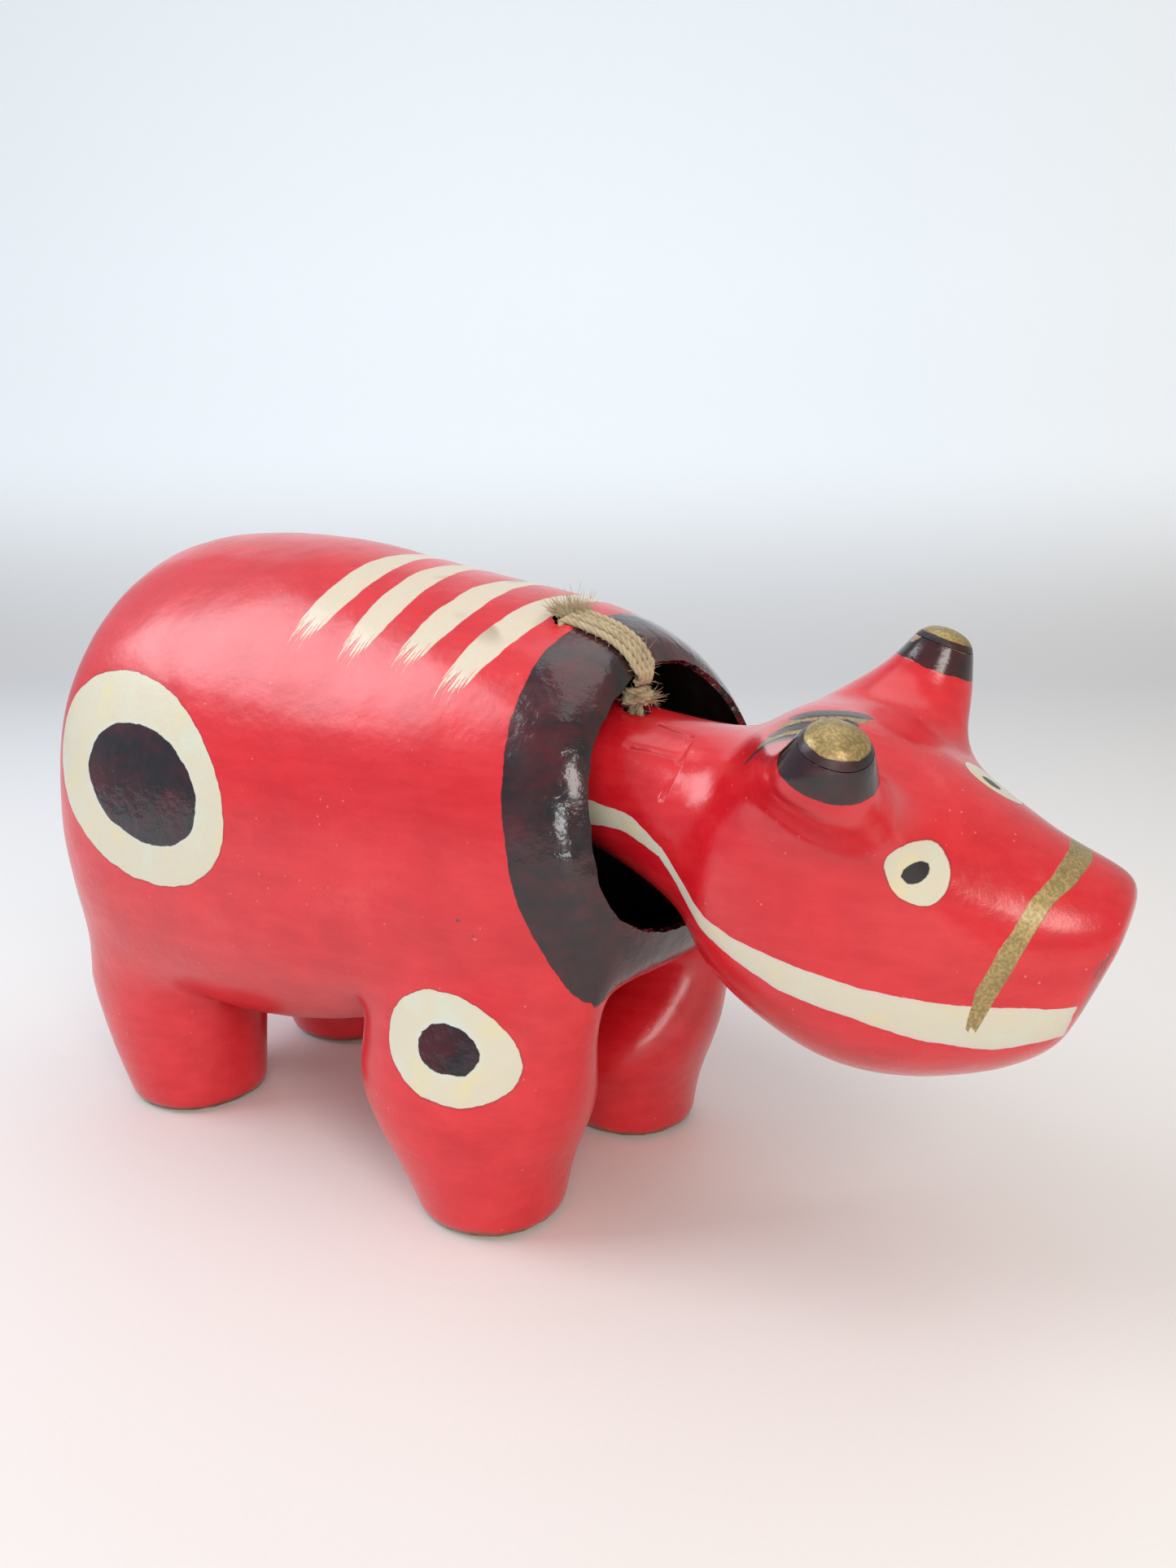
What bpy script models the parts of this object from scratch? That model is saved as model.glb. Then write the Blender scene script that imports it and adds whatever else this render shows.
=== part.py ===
"""Akabeko: a nodding cow of lacquered papier-mache. The body and the head are hollow shells made in two
halves; the head hangs by its neck from a hemp string tied over the collar of the body's opening."""

import bpy
import bmesh
from math import cos, pi, radians, sin, tau
from mathutils import Matrix, Vector
from mathutils.bvhtree import BVHTree

# ---- driving dimensions, metres and degrees ----
WALL = 0.0018  # paper wall of both shells
GAP = 0.0003  # between pieces that touch
MIDDLE_X = 0.04544  # from the middle of the body, where the dimensions below start, to that of the figure
SOLE = 0.0012  # thickness of a sole disc
STRIP_WIDTH = 0.012  # seam strips inside the shells
STRIP_THICK = 0.0007
TWINE = 0.0018  # diameter of the hemp twine
TURNS = 4  # turns of twine over the collar
HOLE = (0.0722, -0.0136)  # string hole in the back, a little to the right of the middle
HOLE_RADIUS = 0.0052
EYE = (0.0640, -0.0146, 0.1180)  # the skin between that hole and the lip is sighted from here
EYE_SLANT = 0.125
NECK_HOLE_X = 0.0  # string hole in the neck, in the head's own axes
NECK_HOLE_RADIUS = 0.0036
NECK_HOLE_SHIFT = 0.0011  # the string rises plumb from the toggle, and the head hangs nose down
TOGGLE = (0.0012, 0.014)  # radius and length of the stick that the string is tied to
CAP_HEIGHT = 0.0040  # a horn cap, from its tip down
WEIGHT_LENGTH = 0.04871  # clay in the back of the neck, which balances the head on the toggle
WEIGHT_SIDES = (-0.5, 0.00543)  # and lies to the right
CLEAR = 0.0005  # between the twine and what it lies on
KNOT = (0.0031, 0.0019, 0.1328)  # radius, half height and place above the floor of the knot under the lip
TOGGLE_DROP = 0.0010  # below the seam strip

# corners of a half ring, from the top middle round the left side to the bottom middle
RING_ANGLES = (90, 62, 34, 8, -14, -34, -66, -90)
ACROSS, DOWN = 2, 3  # faces across the top and down the side of a half ring

# rings of a cage: along, top, bottom, half width, forward lean of the top
BODY_RINGS = (
    (-0.0995, 0.1531, 0.0614, 0.0365, 0.0),
    (-0.0823, 0.1753, 0.0279, 0.0681, 0.0),
    (-0.0390, 0.1762, 0.0240, 0.0656, 0.0),
    (-0.0064, 0.1734, 0.0280, 0.0624, -0.048),
    (0.0245, 0.1665, 0.0400, 0.0576, -0.097),
    (0.0912, 0.1547, 0.0590, 0.0504, -0.135),
    (0.0970, 0.1422, 0.0755, 0.0414, -0.170),
)
BODY_ROUND = (1.857, 3.053)  # superellipse powers above and below the middle of a ring
BODY_BULGE = 0.012
HEAD_RINGS = (
    (-0.0660, -0.0054, -0.0347, 0.0199, 0.0),
    (-0.0350, -0.0041, -0.0338, 0.0196, 0.0),
    (0.0026, 0.0004, -0.0360, 0.0206, 0.0),
    (0.0305, 0.0037, -0.0415, 0.0247, 0.0),
    (0.0356, 0.0211, -0.0545, 0.0337, 0.0),
    (0.0734, 0.0175, -0.0655, 0.0369, 0.0),
    (0.1001, 0.0073, -0.0520, 0.0275, 0.0),
    (0.1167, 0.0085, -0.0383, 0.0179, 0.084),
)
HEAD_ROUND = (2.240, 2.262)
HEAD_BULGE = 0.0002
HEAD_PLACE = (0.0908, -0.0098, 0.1297)
HEAD_TURN = (9.5, 17.7, 9.5)  # leaning over, nose down, looking to its left

# legs: cage cell, then rings of (along, aside, height, half length, half width)
LEGS = {
    "hind": (1, ((-0.0679, 0.0322, 0.0340, 0.0328, 0.0260), (-0.0637, 0.0324, 0.0180, 0.0252, 0.0246),
                 (-0.0600, 0.0325, 0.0050, 0.0220, 0.0220), (-0.0595, 0.0325, -0.0030, 0.0203, 0.0203))),
    "front": (4, ((0.0542, 0.0312, 0.0330, 0.0390, 0.0302), (0.0577, 0.0319, 0.0180, 0.0262, 0.0256),
                  (0.0608, 0.0325, 0.0050, 0.0206, 0.0206), (0.0611, 0.0325, -0.0030, 0.0190, 0.0190))),
}
HORN_ROOT = (0.0561, 0.0401, 0.0171)
HORN_TIP = (0.0566, 0.0437, 0.0317)
HORN_RADII = (0.0127, 0.0090, 0.0060)


# ---- helpers ----
def collection(name, parent):
    made = bpy.data.collections.new(name)
    parent.children.link(made)
    return made


def mesh_object(name, verts, faces, home):
    mesh = bpy.data.meshes.new(name)
    mesh.from_pydata([tuple(v) for v in verts], [], faces)
    obj = bpy.data.objects.new(name, mesh)
    home.objects.link(obj)
    return obj


def evaluated(obj):
    bpy.context.view_layer.update()
    graph = bpy.context.evaluated_depsgraph_get()
    return bpy.data.meshes.new_from_object(obj.evaluated_get(graph))


def bake(obj):
    """The modifiers of the object applied."""
    mesh = evaluated(obj)
    obj.modifiers.clear()
    obj.data = mesh


def boolean(obj, operation, cutter):
    modifier = obj.modifiers.new(operation.lower(), "BOOLEAN")
    modifier.operation, modifier.solver, modifier.object = operation, "MANIFOLD", cutter
    bake(obj)


def copy_of(obj, name, home):
    made = bpy.data.objects.new(name, obj.data.copy())
    home.objects.link(made)
    return made


def block(name, low, high):
    size = [b - a for a, b in zip(low, high)]
    mesh = bmesh.new()
    middle = Matrix.Translation([(a + b) / 2 for a, b in zip(low, high)])
    bmesh.ops.create_cube(mesh, size=1, matrix=middle @ Matrix.Diagonal((*size, 1)))
    return from_bmesh(name, mesh, HELPERS)


def cylinder(name, radius, length, place, home, sides=32, ends=None):
    mesh = bmesh.new()
    bmesh.ops.create_cone(mesh, cap_ends=True, segments=sides, radius1=radius,
                          radius2=radius if ends is None else ends, depth=length, matrix=place)
    return from_bmesh(name, mesh, home)


def from_bmesh(name, mesh, home):
    data = bpy.data.meshes.new(name)
    mesh.to_mesh(data)
    mesh.free()
    obj = bpy.data.objects.new(name, data)
    home.objects.link(obj)
    return obj


def cord(name, points, radius, home, closed=False, resolution=1):
    """A round cord through the points, as a closed mesh."""
    curve = bpy.data.curves.new(name, "CURVE")
    curve.dimensions = "3D"
    spline = curve.splines.new("POLY")
    spline.points.add(len(points) - 1)
    for corner, point in zip(spline.points, points):
        corner.co = (*point, 1)
    spline.use_cyclic_u = closed
    curve.bevel_depth, curve.bevel_resolution, curve.use_fill_caps = radius, resolution, True
    guide = bpy.data.objects.new(name, curve)
    HELPERS.objects.link(guide)
    mesh = bmesh.new()
    mesh.from_mesh(evaluated(guide))
    bmesh.ops.remove_doubles(mesh, verts=mesh.verts, dist=1e-6)
    bmesh.ops.recalc_face_normals(mesh, faces=mesh.faces)
    bpy.data.objects.remove(guide)
    return from_bmesh(name, mesh, home)


# ---- the two cages ----
def ring_point(ring, j, powers):
    along, top, bottom, width, lean = ring
    angle = radians(RING_ANGLES[j])
    power = 2 / powers[0 if angle > 0 else 1]
    side = width * abs(cos(angle)) ** power if 0 < j < len(RING_ANGLES) - 1 else 0.0
    rise = (top - bottom) / 2 * abs(sin(angle)) ** power * (1 if angle > 0 else -1)
    return Vector((along + lean * rise, side, (top + bottom) / 2 + rise))


def cage(name, rings, powers, cap, bulge, limbs):
    """A tube of rings closed at one end (cap 0 or -1), with square limbs pulled out of cells of it."""
    cap %= len(rings)
    last = len(RING_ANGLES) - 1
    points, faces = {}, []

    def corner(kind, a, b, side, place):
        middle = abs(place.y) < 1e-9
        key = (kind, a, b, 0 if middle else side)
        points.setdefault(key, Vector((place.x, place.y * side, place.z)))
        return key

    def on_ring(i, j, side):
        return corner("ring", i, j, side, ring_point(rings[i], j, powers))

    def on_cap(a, b, side):
        for edge, j in ((b == 0, a), (b == DOWN, last - a), (a == ACROSS, ACROSS + b)):
            if edge:
                return on_ring(cap, j, side)
        upper, lower = ring_point(rings[cap], a, powers), ring_point(rings[cap], last - a, powers)
        place = upper.lerp(lower, b / DOWN)
        place.x += bulge if cap else -bulge
        place.y = rings[cap][3] * a / ACROSS * 0.9
        return corner("cap", a, b, side, place)

    def quad(keys, flip):
        faces.append(keys[::-1] if flip else keys)

    for side in (1, -1):
        for i in range(len(rings) - 1):
            for j in range(last):
                keys = [on_ring(i, j, side), on_ring(i, j + 1, side),
                        on_ring(i + 1, j + 1, side), on_ring(i + 1, j, side)]
                if (i, j) not in limbs:
                    quad(keys, side < 0)
                    continue
                for n, loop in enumerate(limbs[i, j]):
                    new = [corner(("limb", i, j), n, k, side, place) for k, place in enumerate(loop)]
                    for k in range(4):
                        quad([keys[k], keys[(k + 1) % 4], new[(k + 1) % 4], new[k]], side < 0)
                    keys = new
                quad(keys, side < 0)
        for a in range(ACROSS):
            for b in range(DOWN):
                keys = [on_cap(a, b, side), on_cap(a, b + 1, side),
                        on_cap(a + 1, b + 1, side), on_cap(a + 1, b, side)]
                quad(keys, (side < 0) == (cap == 0))
    index = {key: n for n, key in enumerate(points)}
    return mesh_object(name, points.values(), [[index[key] for key in face] for face in faces], HELPERS)


def leg_loop(along, aside, height, length, width, slope=0.0):
    signs = ((-1, 1), (-1, -1), (1, -1), (1, 1))
    return [Vector((along + a * length, aside + b * width, height + b * slope)) for a, b in signs]


def horn_loops():
    root, tip = Vector(HORN_ROOT), Vector(HORN_TIP)
    axis = (tip - root).normalized()
    forward = (Vector((1, 0, 0)) - axis * axis.x).normalized()
    inward = axis.cross(forward)
    inward *= -1 if inward.y > 0 else 1
    signs = ((-1, 1), (-1, -1), (1, -1), (1, 1))
    return [[root.lerp(tip, t) + forward * r * a + inward * r * b for a, b in signs]
            for t, r in zip((0, 0.55, 1), HORN_RADII)]


def body_cage(name, reach=0.0):
    """reach lowers the feet, for the hollow inside, which runs out below the floor."""
    limbs = {}
    for cell, loops in LEGS.values():
        made = [leg_loop(*loop, slope=0.004 if n == 0 else 0.0) for n, loop in enumerate(loops)]
        if reach:
            made[-1] = [place - Vector((0, 0, reach)) for place in made[-1]]
        limbs[cell, 5] = made
    return cage(name, BODY_RINGS, BODY_ROUND, 0, BODY_BULGE, limbs)


def head_cage(name):
    return cage(name, HEAD_RINGS, HEAD_ROUND, -1, HEAD_BULGE, {(4, 1): horn_loops()})


def solid_from(obj, levels, inset, stretch):
    """The cage smoothed, moved in along its normals and closed at its open end, which stretch draws out."""
    smooth = obj.modifiers.new("smooth", "SUBSURF")
    smooth.levels = smooth.render_levels = levels
    bake(obj)
    mesh = bmesh.new()
    mesh.from_mesh(obj.data)
    bmesh.ops.recalc_face_normals(mesh, faces=mesh.faces)
    mesh.normal_update()
    for place, vert in [(v.co - v.normal * inset, v) for v in mesh.verts]:
        vert.co = place
    rim = [e for e in mesh.edges if e.is_boundary]
    if stretch:
        made = bmesh.ops.extrude_edge_only(mesh, edges=rim)["geom"]
        bmesh.ops.translate(mesh, vec=stretch, verts=[v for v in made if isinstance(v, bmesh.types.BMVert)])
        rim = [e for e in mesh.edges if e.is_boundary]
    bmesh.ops.holes_fill(mesh, edges=rim)
    bmesh.ops.recalc_face_normals(mesh, faces=mesh.faces)
    mesh.to_mesh(obj.data)
    mesh.free()
    return obj


def tree_of(obj):
    return BVHTree.FromObject(obj, bpy.context.evaluated_depsgraph_get())


def finish(obj, material, smooth_angle=40):
    obj.data.materials.clear()
    obj.data.materials.append(material)
    for face in obj.data.polygons:
        face.use_smooth = True
        face.material_index = 0
    obj.data.set_sharp_from_angle(angle=radians(smooth_angle))


def material(name, colour, roughness, metallic=0.0):
    made = bpy.data.materials.new(name)
    made.use_nodes = True
    shader = made.node_tree.nodes["Principled BSDF"]
    shader.inputs["Base Color"].default_value = (*colour, 1)
    shader.inputs["Roughness"].default_value = roughness
    shader.inputs["Metallic"].default_value = metallic
    return made


# ---- start ----
for old in list(bpy.data.objects):
    bpy.data.objects.remove(old)
SCENE = bpy.context.scene.collection
PART, HELPERS = collection("akabeko", SCENE), collection("cutters", SCENE)

RED = material("red_lacquered_paper", (0.62, 0.02, 0.03), 0.3)
GOLD = material("gold_paint", (0.42, 0.32, 0.14), 0.4, 0.3)
CARD = material("bare_card", (0.35, 0.24, 0.15), 0.85)
PAPER = material("seam_paper", (0.6, 0.52, 0.38), 0.9)
HEMP = material("hemp_twine", (0.55, 0.45, 0.28), 0.9)
CLAY = material("clay", (0.3, 0.22, 0.17), 0.9)
WOOD = material("bamboo", (0.55, 0.4, 0.2), 0.6)
TO_WORLD = (Matrix.Translation(HEAD_PLACE) @ Matrix.Rotation(radians(HEAD_TURN[2]), 4, "Z")
            @ Matrix.Rotation(radians(HEAD_TURN[1]), 4, "Y") @ Matrix.Rotation(radians(HEAD_TURN[0]), 4, "X"))
FAR = 0.5

# ---- body: outer skin, hollow, two halves, soles, seam strip ----
outer = solid_from(body_cage("body_outer"), 2, 0, None)
hollow = solid_from(body_cage("body_hollow", 0.012), 1, WALL, (0.02, 0, 0))
outer_tree, hollow_tree = tree_of(outer), tree_of(hollow)
shell = copy_of(outer, "body_shell", HELPERS)
boolean(shell, "DIFFERENCE", hollow)
bore = cylinder("string_bore", HOLE_RADIUS, 0.04, Matrix.Translation((*HOLE, 0.16)), HELPERS, 20)
boolean(shell, "DIFFERENCE", bore)
halves = {"left": 1, "right": -1}


def half_space(name, side, clear, bottom=-FAR):
    near = clear * side
    low, high = (near, FAR) if side > 0 else (-FAR, near)
    return block(name, (-FAR, low, bottom), (FAR, high, FAR))


for word, side in halves.items():
    piece = copy_of(shell, "body_shell_" + word, PART)
    boolean(piece, "INTERSECT", half_space("body_side_" + word, side, GAP / 2, SOLE + GAP))
    finish(piece, RED)
    for leg in LEGS:
        sole = copy_of(outer, f"sole_{leg}_{word}", PART)
        x0, x1 = (-FAR, 0) if leg == "hind" else (0, FAR)
        y0, y1 = (0, FAR) if side > 0 else (-FAR, 0)
        boolean(sole, "INTERSECT", block("sole_cut", (x0, y0, 0), (x1, y1, SOLE)))
        finish(sole, CARD)


def seam_strip(name, maker, stretch, trim):
    """A band of paper along the middle plane, just inside the hollow."""
    strip = solid_from(maker("strip_outer"), 1, WALL + GAP, stretch)
    inside = solid_from(maker("strip_inner"), 1, WALL + GAP + STRIP_THICK, stretch * 2)
    boolean(strip, "DIFFERENCE", inside)
    boolean(strip, "INTERSECT", block("strip_cut", *trim))
    strip.name = name
    HELPERS.objects.unlink(strip)
    PART.objects.link(strip)
    finish(strip, PAPER)
    return strip


HALF = STRIP_WIDTH / 2
strip = seam_strip("body_seam_strip", body_cage, Vector((0.02, 0, 0)),
                   ((-FAR, -HALF, -FAR), (HOLE[0] - HOLE_RADIUS - 0.004, HALF, FAR)))


# ---- head: the same in its own axes, along X from the neck to the muzzle ----
head_outer = solid_from(head_cage("head_outer"), 2, 0, None)
back = Vector((-0.02, 0, 0))
head_hollow = solid_from(head_cage("head_hollow"), 1, WALL, back)
head_tree, neck_tree = tree_of(head_outer), tree_of(head_hollow)
head = copy_of(head_outer, "head_shell", HELPERS)
boolean(head, "DIFFERENCE", head_hollow)
down, up = Vector((0, 0, -1)), Vector((0, 0, 1))
neck_top = head_tree.ray_cast(Vector((NECK_HOLE_X, 0, 0.1)), down)[0]
ceiling = neck_tree.ray_cast(Vector((NECK_HOLE_X, 0, 0.1)), down)[0]
neck_bore = cylinder("neck_bore", NECK_HOLE_RADIUS, 0.02,
                     Matrix.Translation(neck_top - Vector((NECK_HOLE_SHIFT, 0, 0))), HELPERS, 16)
boolean(head, "DIFFERENCE", neck_bore)


def horn_block(name, side, clear):
    """A block over the end of a horn, square to the horn, starting CAP_HEIGHT less clear below its tip."""
    root = Vector((HORN_ROOT[0], HORN_ROOT[1] * side, HORN_ROOT[2]))
    tip = Vector((HORN_TIP[0], HORN_TIP[1] * side, HORN_TIP[2]))
    axis = (tip - root).normalized()
    top = head_tree.ray_cast(tip + axis * 0.05, -axis)[0]
    base = top - axis * (CAP_HEIGHT - clear)
    turn = axis.to_track_quat("Z", "Y").to_matrix().to_4x4()
    mesh = bmesh.new()
    place = Matrix.Translation(base + axis * 0.01) @ turn
    bmesh.ops.create_cube(mesh, size=1, matrix=place @ Matrix.Diagonal((0.03, 0.03, 0.02, 1)))
    return from_bmesh(name, mesh, HELPERS)


def into_world(obj):
    obj.data.transform(TO_WORLD)


def to_part(obj, name, paint):
    obj.name = name
    for home in list(obj.users_collection):
        home.objects.unlink(obj)
    PART.objects.link(obj)
    finish(obj, paint)
    return obj


for word, side in halves.items():
    cap = copy_of(head, "horn_cap_" + word, PART)
    boolean(cap, "INTERSECT", horn_block("cap_block", side, 0))
    finish(cap, GOLD)
    into_world(cap)
for word, side in halves.items():
    boolean(head, "DIFFERENCE", horn_block("horn_block", side, -GAP))
for word, side in halves.items():
    piece = copy_of(head, "head_shell_" + word, PART)
    boolean(piece, "INTERSECT", half_space("head_side_" + word, side, GAP / 2))
    finish(piece, RED)
    into_world(piece)

neck_end = HEAD_RINGS[0][0]
strip = seam_strip("head_seam_strip", head_cage, back, ((neck_end + 0.001, -HALF, -FAR), (FAR, HALF, FAR)))
boolean(strip, "DIFFERENCE", neck_bore)
finish(strip, PAPER)
into_world(strip)

# ---- inside the neck: end disc, clay weight, toggle stick ----
INSET = WALL + 2 * GAP + STRIP_THICK
DISC = (0.0010, 0.0025)  # from the end of the neck
disc = solid_from(head_cage("neck_disc"), 1, INSET, back)
boolean(disc, "INTERSECT", block("disc_cut", (neck_end + DISC[0], -FAR, -FAR), (neck_end + DISC[1], FAR, FAR)))
to_part(disc, "neck_end_disc", CARD)
into_world(disc)
weight = solid_from(head_cage("neck_clay"), 1, INSET, back)
low = (neck_end + DISC[1] + GAP, WEIGHT_SIDES[0], -FAR)
boolean(weight, "INTERSECT", block("clay_cut", low, (neck_end + DISC[1] + WEIGHT_LENGTH, WEIGHT_SIDES[1], FAR)))
to_part(weight, "neck_weight", CLAY)
into_world(weight)
toggle_middle = ceiling - Vector((0, 0, GAP * 2 + STRIP_THICK + TOGGLE_DROP + TOGGLE[0]))
toggle = cylinder("toggle_stick", TOGGLE[0], TOGGLE[1],
                  Matrix.Translation(toggle_middle) @ Matrix.Rotation(pi / 2, 4, "X"), PART, 20)
finish(toggle, WOOD)
into_world(toggle)
toggle_place = TO_WORLD @ toggle_middle


# ---- the string: turns over the collar, knot at the lip, hairpin round the toggle ----
R = TWINE / 2
TAIL = (-0.0058, -0.0012, 0.0040), (-0.0026, -0.0004, 0.0026)  # the loose end behind the first turn


def profile(tree, aside, sign, steps):
    """Points just off a skin, in an upright plane from the string hole forward to the lip."""
    eye = Vector((EYE[0], EYE[1] + aside, EYE[2]))
    found = []
    for angle in steps:
        ray = Vector((cos(radians(angle)), EYE_SLANT * cos(radians(angle)), sin(radians(angle))))
        place, normal, face, _ = tree.ray_cast(eye, ray)
        found.append((place + normal * sign * (R + CLEAR), face))
    return found


def lip_angle(aside):
    """The sight angle at which the skin ends."""
    angle = 74.0
    while len(outer.data.polygons[profile(outer_tree, aside, 1, [angle])[0][1]].vertices) == 4:
        angle -= 0.25
    return angle + 0.5


path = []
for turn in range(TURNS):
    aside = (turn - (TURNS - 1) / 2) * (TWINE + 0.0002)
    low = lip_angle(aside)
    steps = [74 + (low - 74) * k / 7 for k in range(8)]
    over, under = ([place for place, _ in profile(tree, aside, sign, steps)]
                   for tree, sign in ((outer_tree, 1), (hollow_tree, -1)))
    edge = outer_tree.find_nearest(over[-1])[0]
    if not path:
        path = [over[0] + Vector(step) for step in TAIL]
    roof = hollow_tree.ray_cast(edge - Vector((0.0003, 0, 0.012)), up)[0].z - R - GAP
    path += over + [Vector((edge.x + 0.0018, edge.y, (edge.z + roof) / 2)),
                    Vector((edge.x + 0.0004, edge.y, roof - 0.0001)), Vector((edge.x - 0.0014, edge.y, roof))]
    if turn < TURNS - 1:
        path += [place for place in under[::-1] if place.x < edge.x - 0.0022]
finish(cord("string_wrap", path, R, PART), HEMP, 60)

knot = Vector((toggle_place.x, toggle_place.y, KNOT[2]))
coil = [knot + Vector((KNOT[0] * cos(a), KNOT[0] * sin(a), KNOT[1] * (a / tau - 1)))
        for a in (k * tau / 12 for k in range(25))]
finish(cord("string_knot", coil, R, PART), HEMP, 60)

spread = TOGGLE[0] + R + GAP
across = (TO_WORLD.to_3x3() @ Vector((1, 0, 0))) * Vector((1, 1, 0))
across.normalize()
near = R + GAP * 0.7
hairpin = [knot + across * near + Vector((0, 0, 0.0016)), toggle_place + across * near + Vector((0, 0, 0.0042))]
for k in range(9):
    a = -pi * k / 8
    hairpin.append(toggle_place + across * spread * cos(a) + Vector((0, 0, spread * sin(a))))
hairpin += [toggle_place - across * near + Vector((0, 0, 0.0042)), knot - across * near + Vector((0, 0, 0.0016))]
finish(cord("string_drop", hairpin, R, PART), HEMP, 60)

# ---- the origin moves to the middle of the footprint of the whole figure ----
for piece in PART.objects:
    piece.data.transform(Matrix.Translation((-MIDDLE_X, 0, 0)))

HELPERS.hide_render = True
for helper in HELPERS.objects:
    helper.hide_render = True
    helper.display_type = "WIRE"
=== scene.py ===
"""Looks of the nodding cow: lacquered paper skins with their painted patterns, gilded horn tips, twine and
the plain stage. Everything is in metres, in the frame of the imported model."""
from math import cos, pi, radians, sin, tau

import bmesh
import bpy
import numpy as np
from mathutils import Matrix, Vector, noise
from mathutils.bvhtree import BVHTree


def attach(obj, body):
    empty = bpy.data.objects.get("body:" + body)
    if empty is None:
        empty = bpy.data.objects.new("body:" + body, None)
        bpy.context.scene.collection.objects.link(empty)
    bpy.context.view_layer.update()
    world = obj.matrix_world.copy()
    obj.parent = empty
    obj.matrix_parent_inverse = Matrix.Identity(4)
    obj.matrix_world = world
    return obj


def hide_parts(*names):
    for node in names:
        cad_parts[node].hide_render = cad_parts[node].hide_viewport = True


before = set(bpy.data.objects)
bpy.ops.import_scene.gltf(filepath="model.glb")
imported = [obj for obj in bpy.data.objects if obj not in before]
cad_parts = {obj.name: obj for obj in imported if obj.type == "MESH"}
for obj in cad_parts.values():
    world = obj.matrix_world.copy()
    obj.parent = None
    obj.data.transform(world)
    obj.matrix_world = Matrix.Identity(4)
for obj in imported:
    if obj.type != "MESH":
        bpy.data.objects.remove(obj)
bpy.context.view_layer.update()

bl_info = {
    "name": "Nodding Cow Looks",
    "version": (1, 0, 0),
    "blender": (4, 5, 0),
    "location": "View3D > Sidebar > Nodding Cow",
    "description": "Builds the lacquered paper skins, the twine and the stage of a nodding cow figure",
    "category": "Object",
}

# ---- shape: half rings of the two cages, from the top middle round the left side to the bottom middle ----
RING_ANGLES = (90, 62, 34, 8, -14, -34, -66, -90)
ACROSS, DOWN = 2, 3
MIDDLE_X = 0.04544  # the dimensions below start from the middle of the body
SOLE_TOP = 0.0015
BODY_RINGS = (
    (-0.0995, 0.1531, 0.0614, 0.0365, 0.0),
    (-0.0823, 0.1753, 0.0279, 0.0681, 0.0),
    (-0.0390, 0.1762, 0.0240, 0.0656, 0.0),
    (-0.0064, 0.1734, 0.0280, 0.0624, -0.048),
    (0.0245, 0.1665, 0.0400, 0.0576, -0.097),
    (0.0912, 0.1547, 0.0590, 0.0504, -0.135),
    (0.0970, 0.1422, 0.0755, 0.0414, -0.170),
)
BODY_ROUND, BODY_BULGE = (1.857, 3.053), 0.012
HEAD_RINGS = (
    (-0.0660, -0.0054, -0.0347, 0.0199, 0.0),
    (-0.0350, -0.0041, -0.0338, 0.0196, 0.0),
    (0.0026, 0.0004, -0.0360, 0.0206, 0.0),
    (0.0305, 0.0037, -0.0415, 0.0247, 0.0),
    (0.0356, 0.0211, -0.0545, 0.0337, 0.0),
    (0.0734, 0.0175, -0.0655, 0.0369, 0.0),
    (0.1001, 0.0073, -0.0520, 0.0275, 0.0),
    (0.1167, 0.0085, -0.0383, 0.0179, 0.084),
)
HEAD_ROUND, HEAD_BULGE = (2.240, 2.262), 0.0002
HEAD_PLACE, HEAD_TURN = (0.0908, -0.0098, 0.1297), (9.5, 17.7, 9.5)
LEGS = {
    "hind": (1, ((-0.0679, 0.0322, 0.0340, 0.0328, 0.0260), (-0.0637, 0.0324, 0.0180, 0.0252, 0.0246),
                 (-0.0600, 0.0325, 0.0050, 0.0220, 0.0220), (-0.0595, 0.0325, -0.0030, 0.0203, 0.0203))),
    "front": (4, ((0.0542, 0.0312, 0.0330, 0.0390, 0.0302), (0.0577, 0.0319, 0.0180, 0.0262, 0.0256),
                  (0.0608, 0.0325, 0.0050, 0.0206, 0.0206), (0.0611, 0.0325, -0.0030, 0.0190, 0.0190))),
}
HORN_ROOT, HORN_TIP = Vector((0.0561, 0.0401, 0.0171)), Vector((0.0566, 0.0437, 0.0317))
HORN_RADII = (0.0127, 0.0090, 0.0060)
HORN_AXIS = (HORN_TIP - HORN_ROOT).normalized()
CAP_HEIGHT = 0.0040
STRING_HOLE, NECK_HOLE = (0.0722, -0.0136), (-0.0011, 0.0)
TOGGLE = Vector((0.043465, -0.009135, 0.124188))
KNOT = Vector((0.043465, -0.009135, 0.1328))

TO_FRAME = Matrix.Translation((-MIDDLE_X, 0, 0))
HEAD_TO_FRAME = (TO_FRAME @ Matrix.Translation(HEAD_PLACE) @ Matrix.Rotation(radians(HEAD_TURN[2]), 4, "Z")
                 @ Matrix.Rotation(radians(HEAD_TURN[1]), 4, "Y") @ Matrix.Rotation(radians(HEAD_TURN[0]), 4, "X"))

# ---- painted patterns ----
# ellipses: along, height, half length, half height, degrees that the long axis rises backwards, least side
RINGS = ((-0.0408, 0.1062, 0.0378, 0.0259, 24.7, 0.02), (0.0637, 0.0505, 0.0193, 0.0128, 8.7, 0.035))
PUPILS = ((-0.0364, 0.1051, 0.0228, 0.0150, 19.7, 0.02), (0.0645, 0.0505, 0.0090, 0.0060, 5.3, 0.035))
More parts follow.
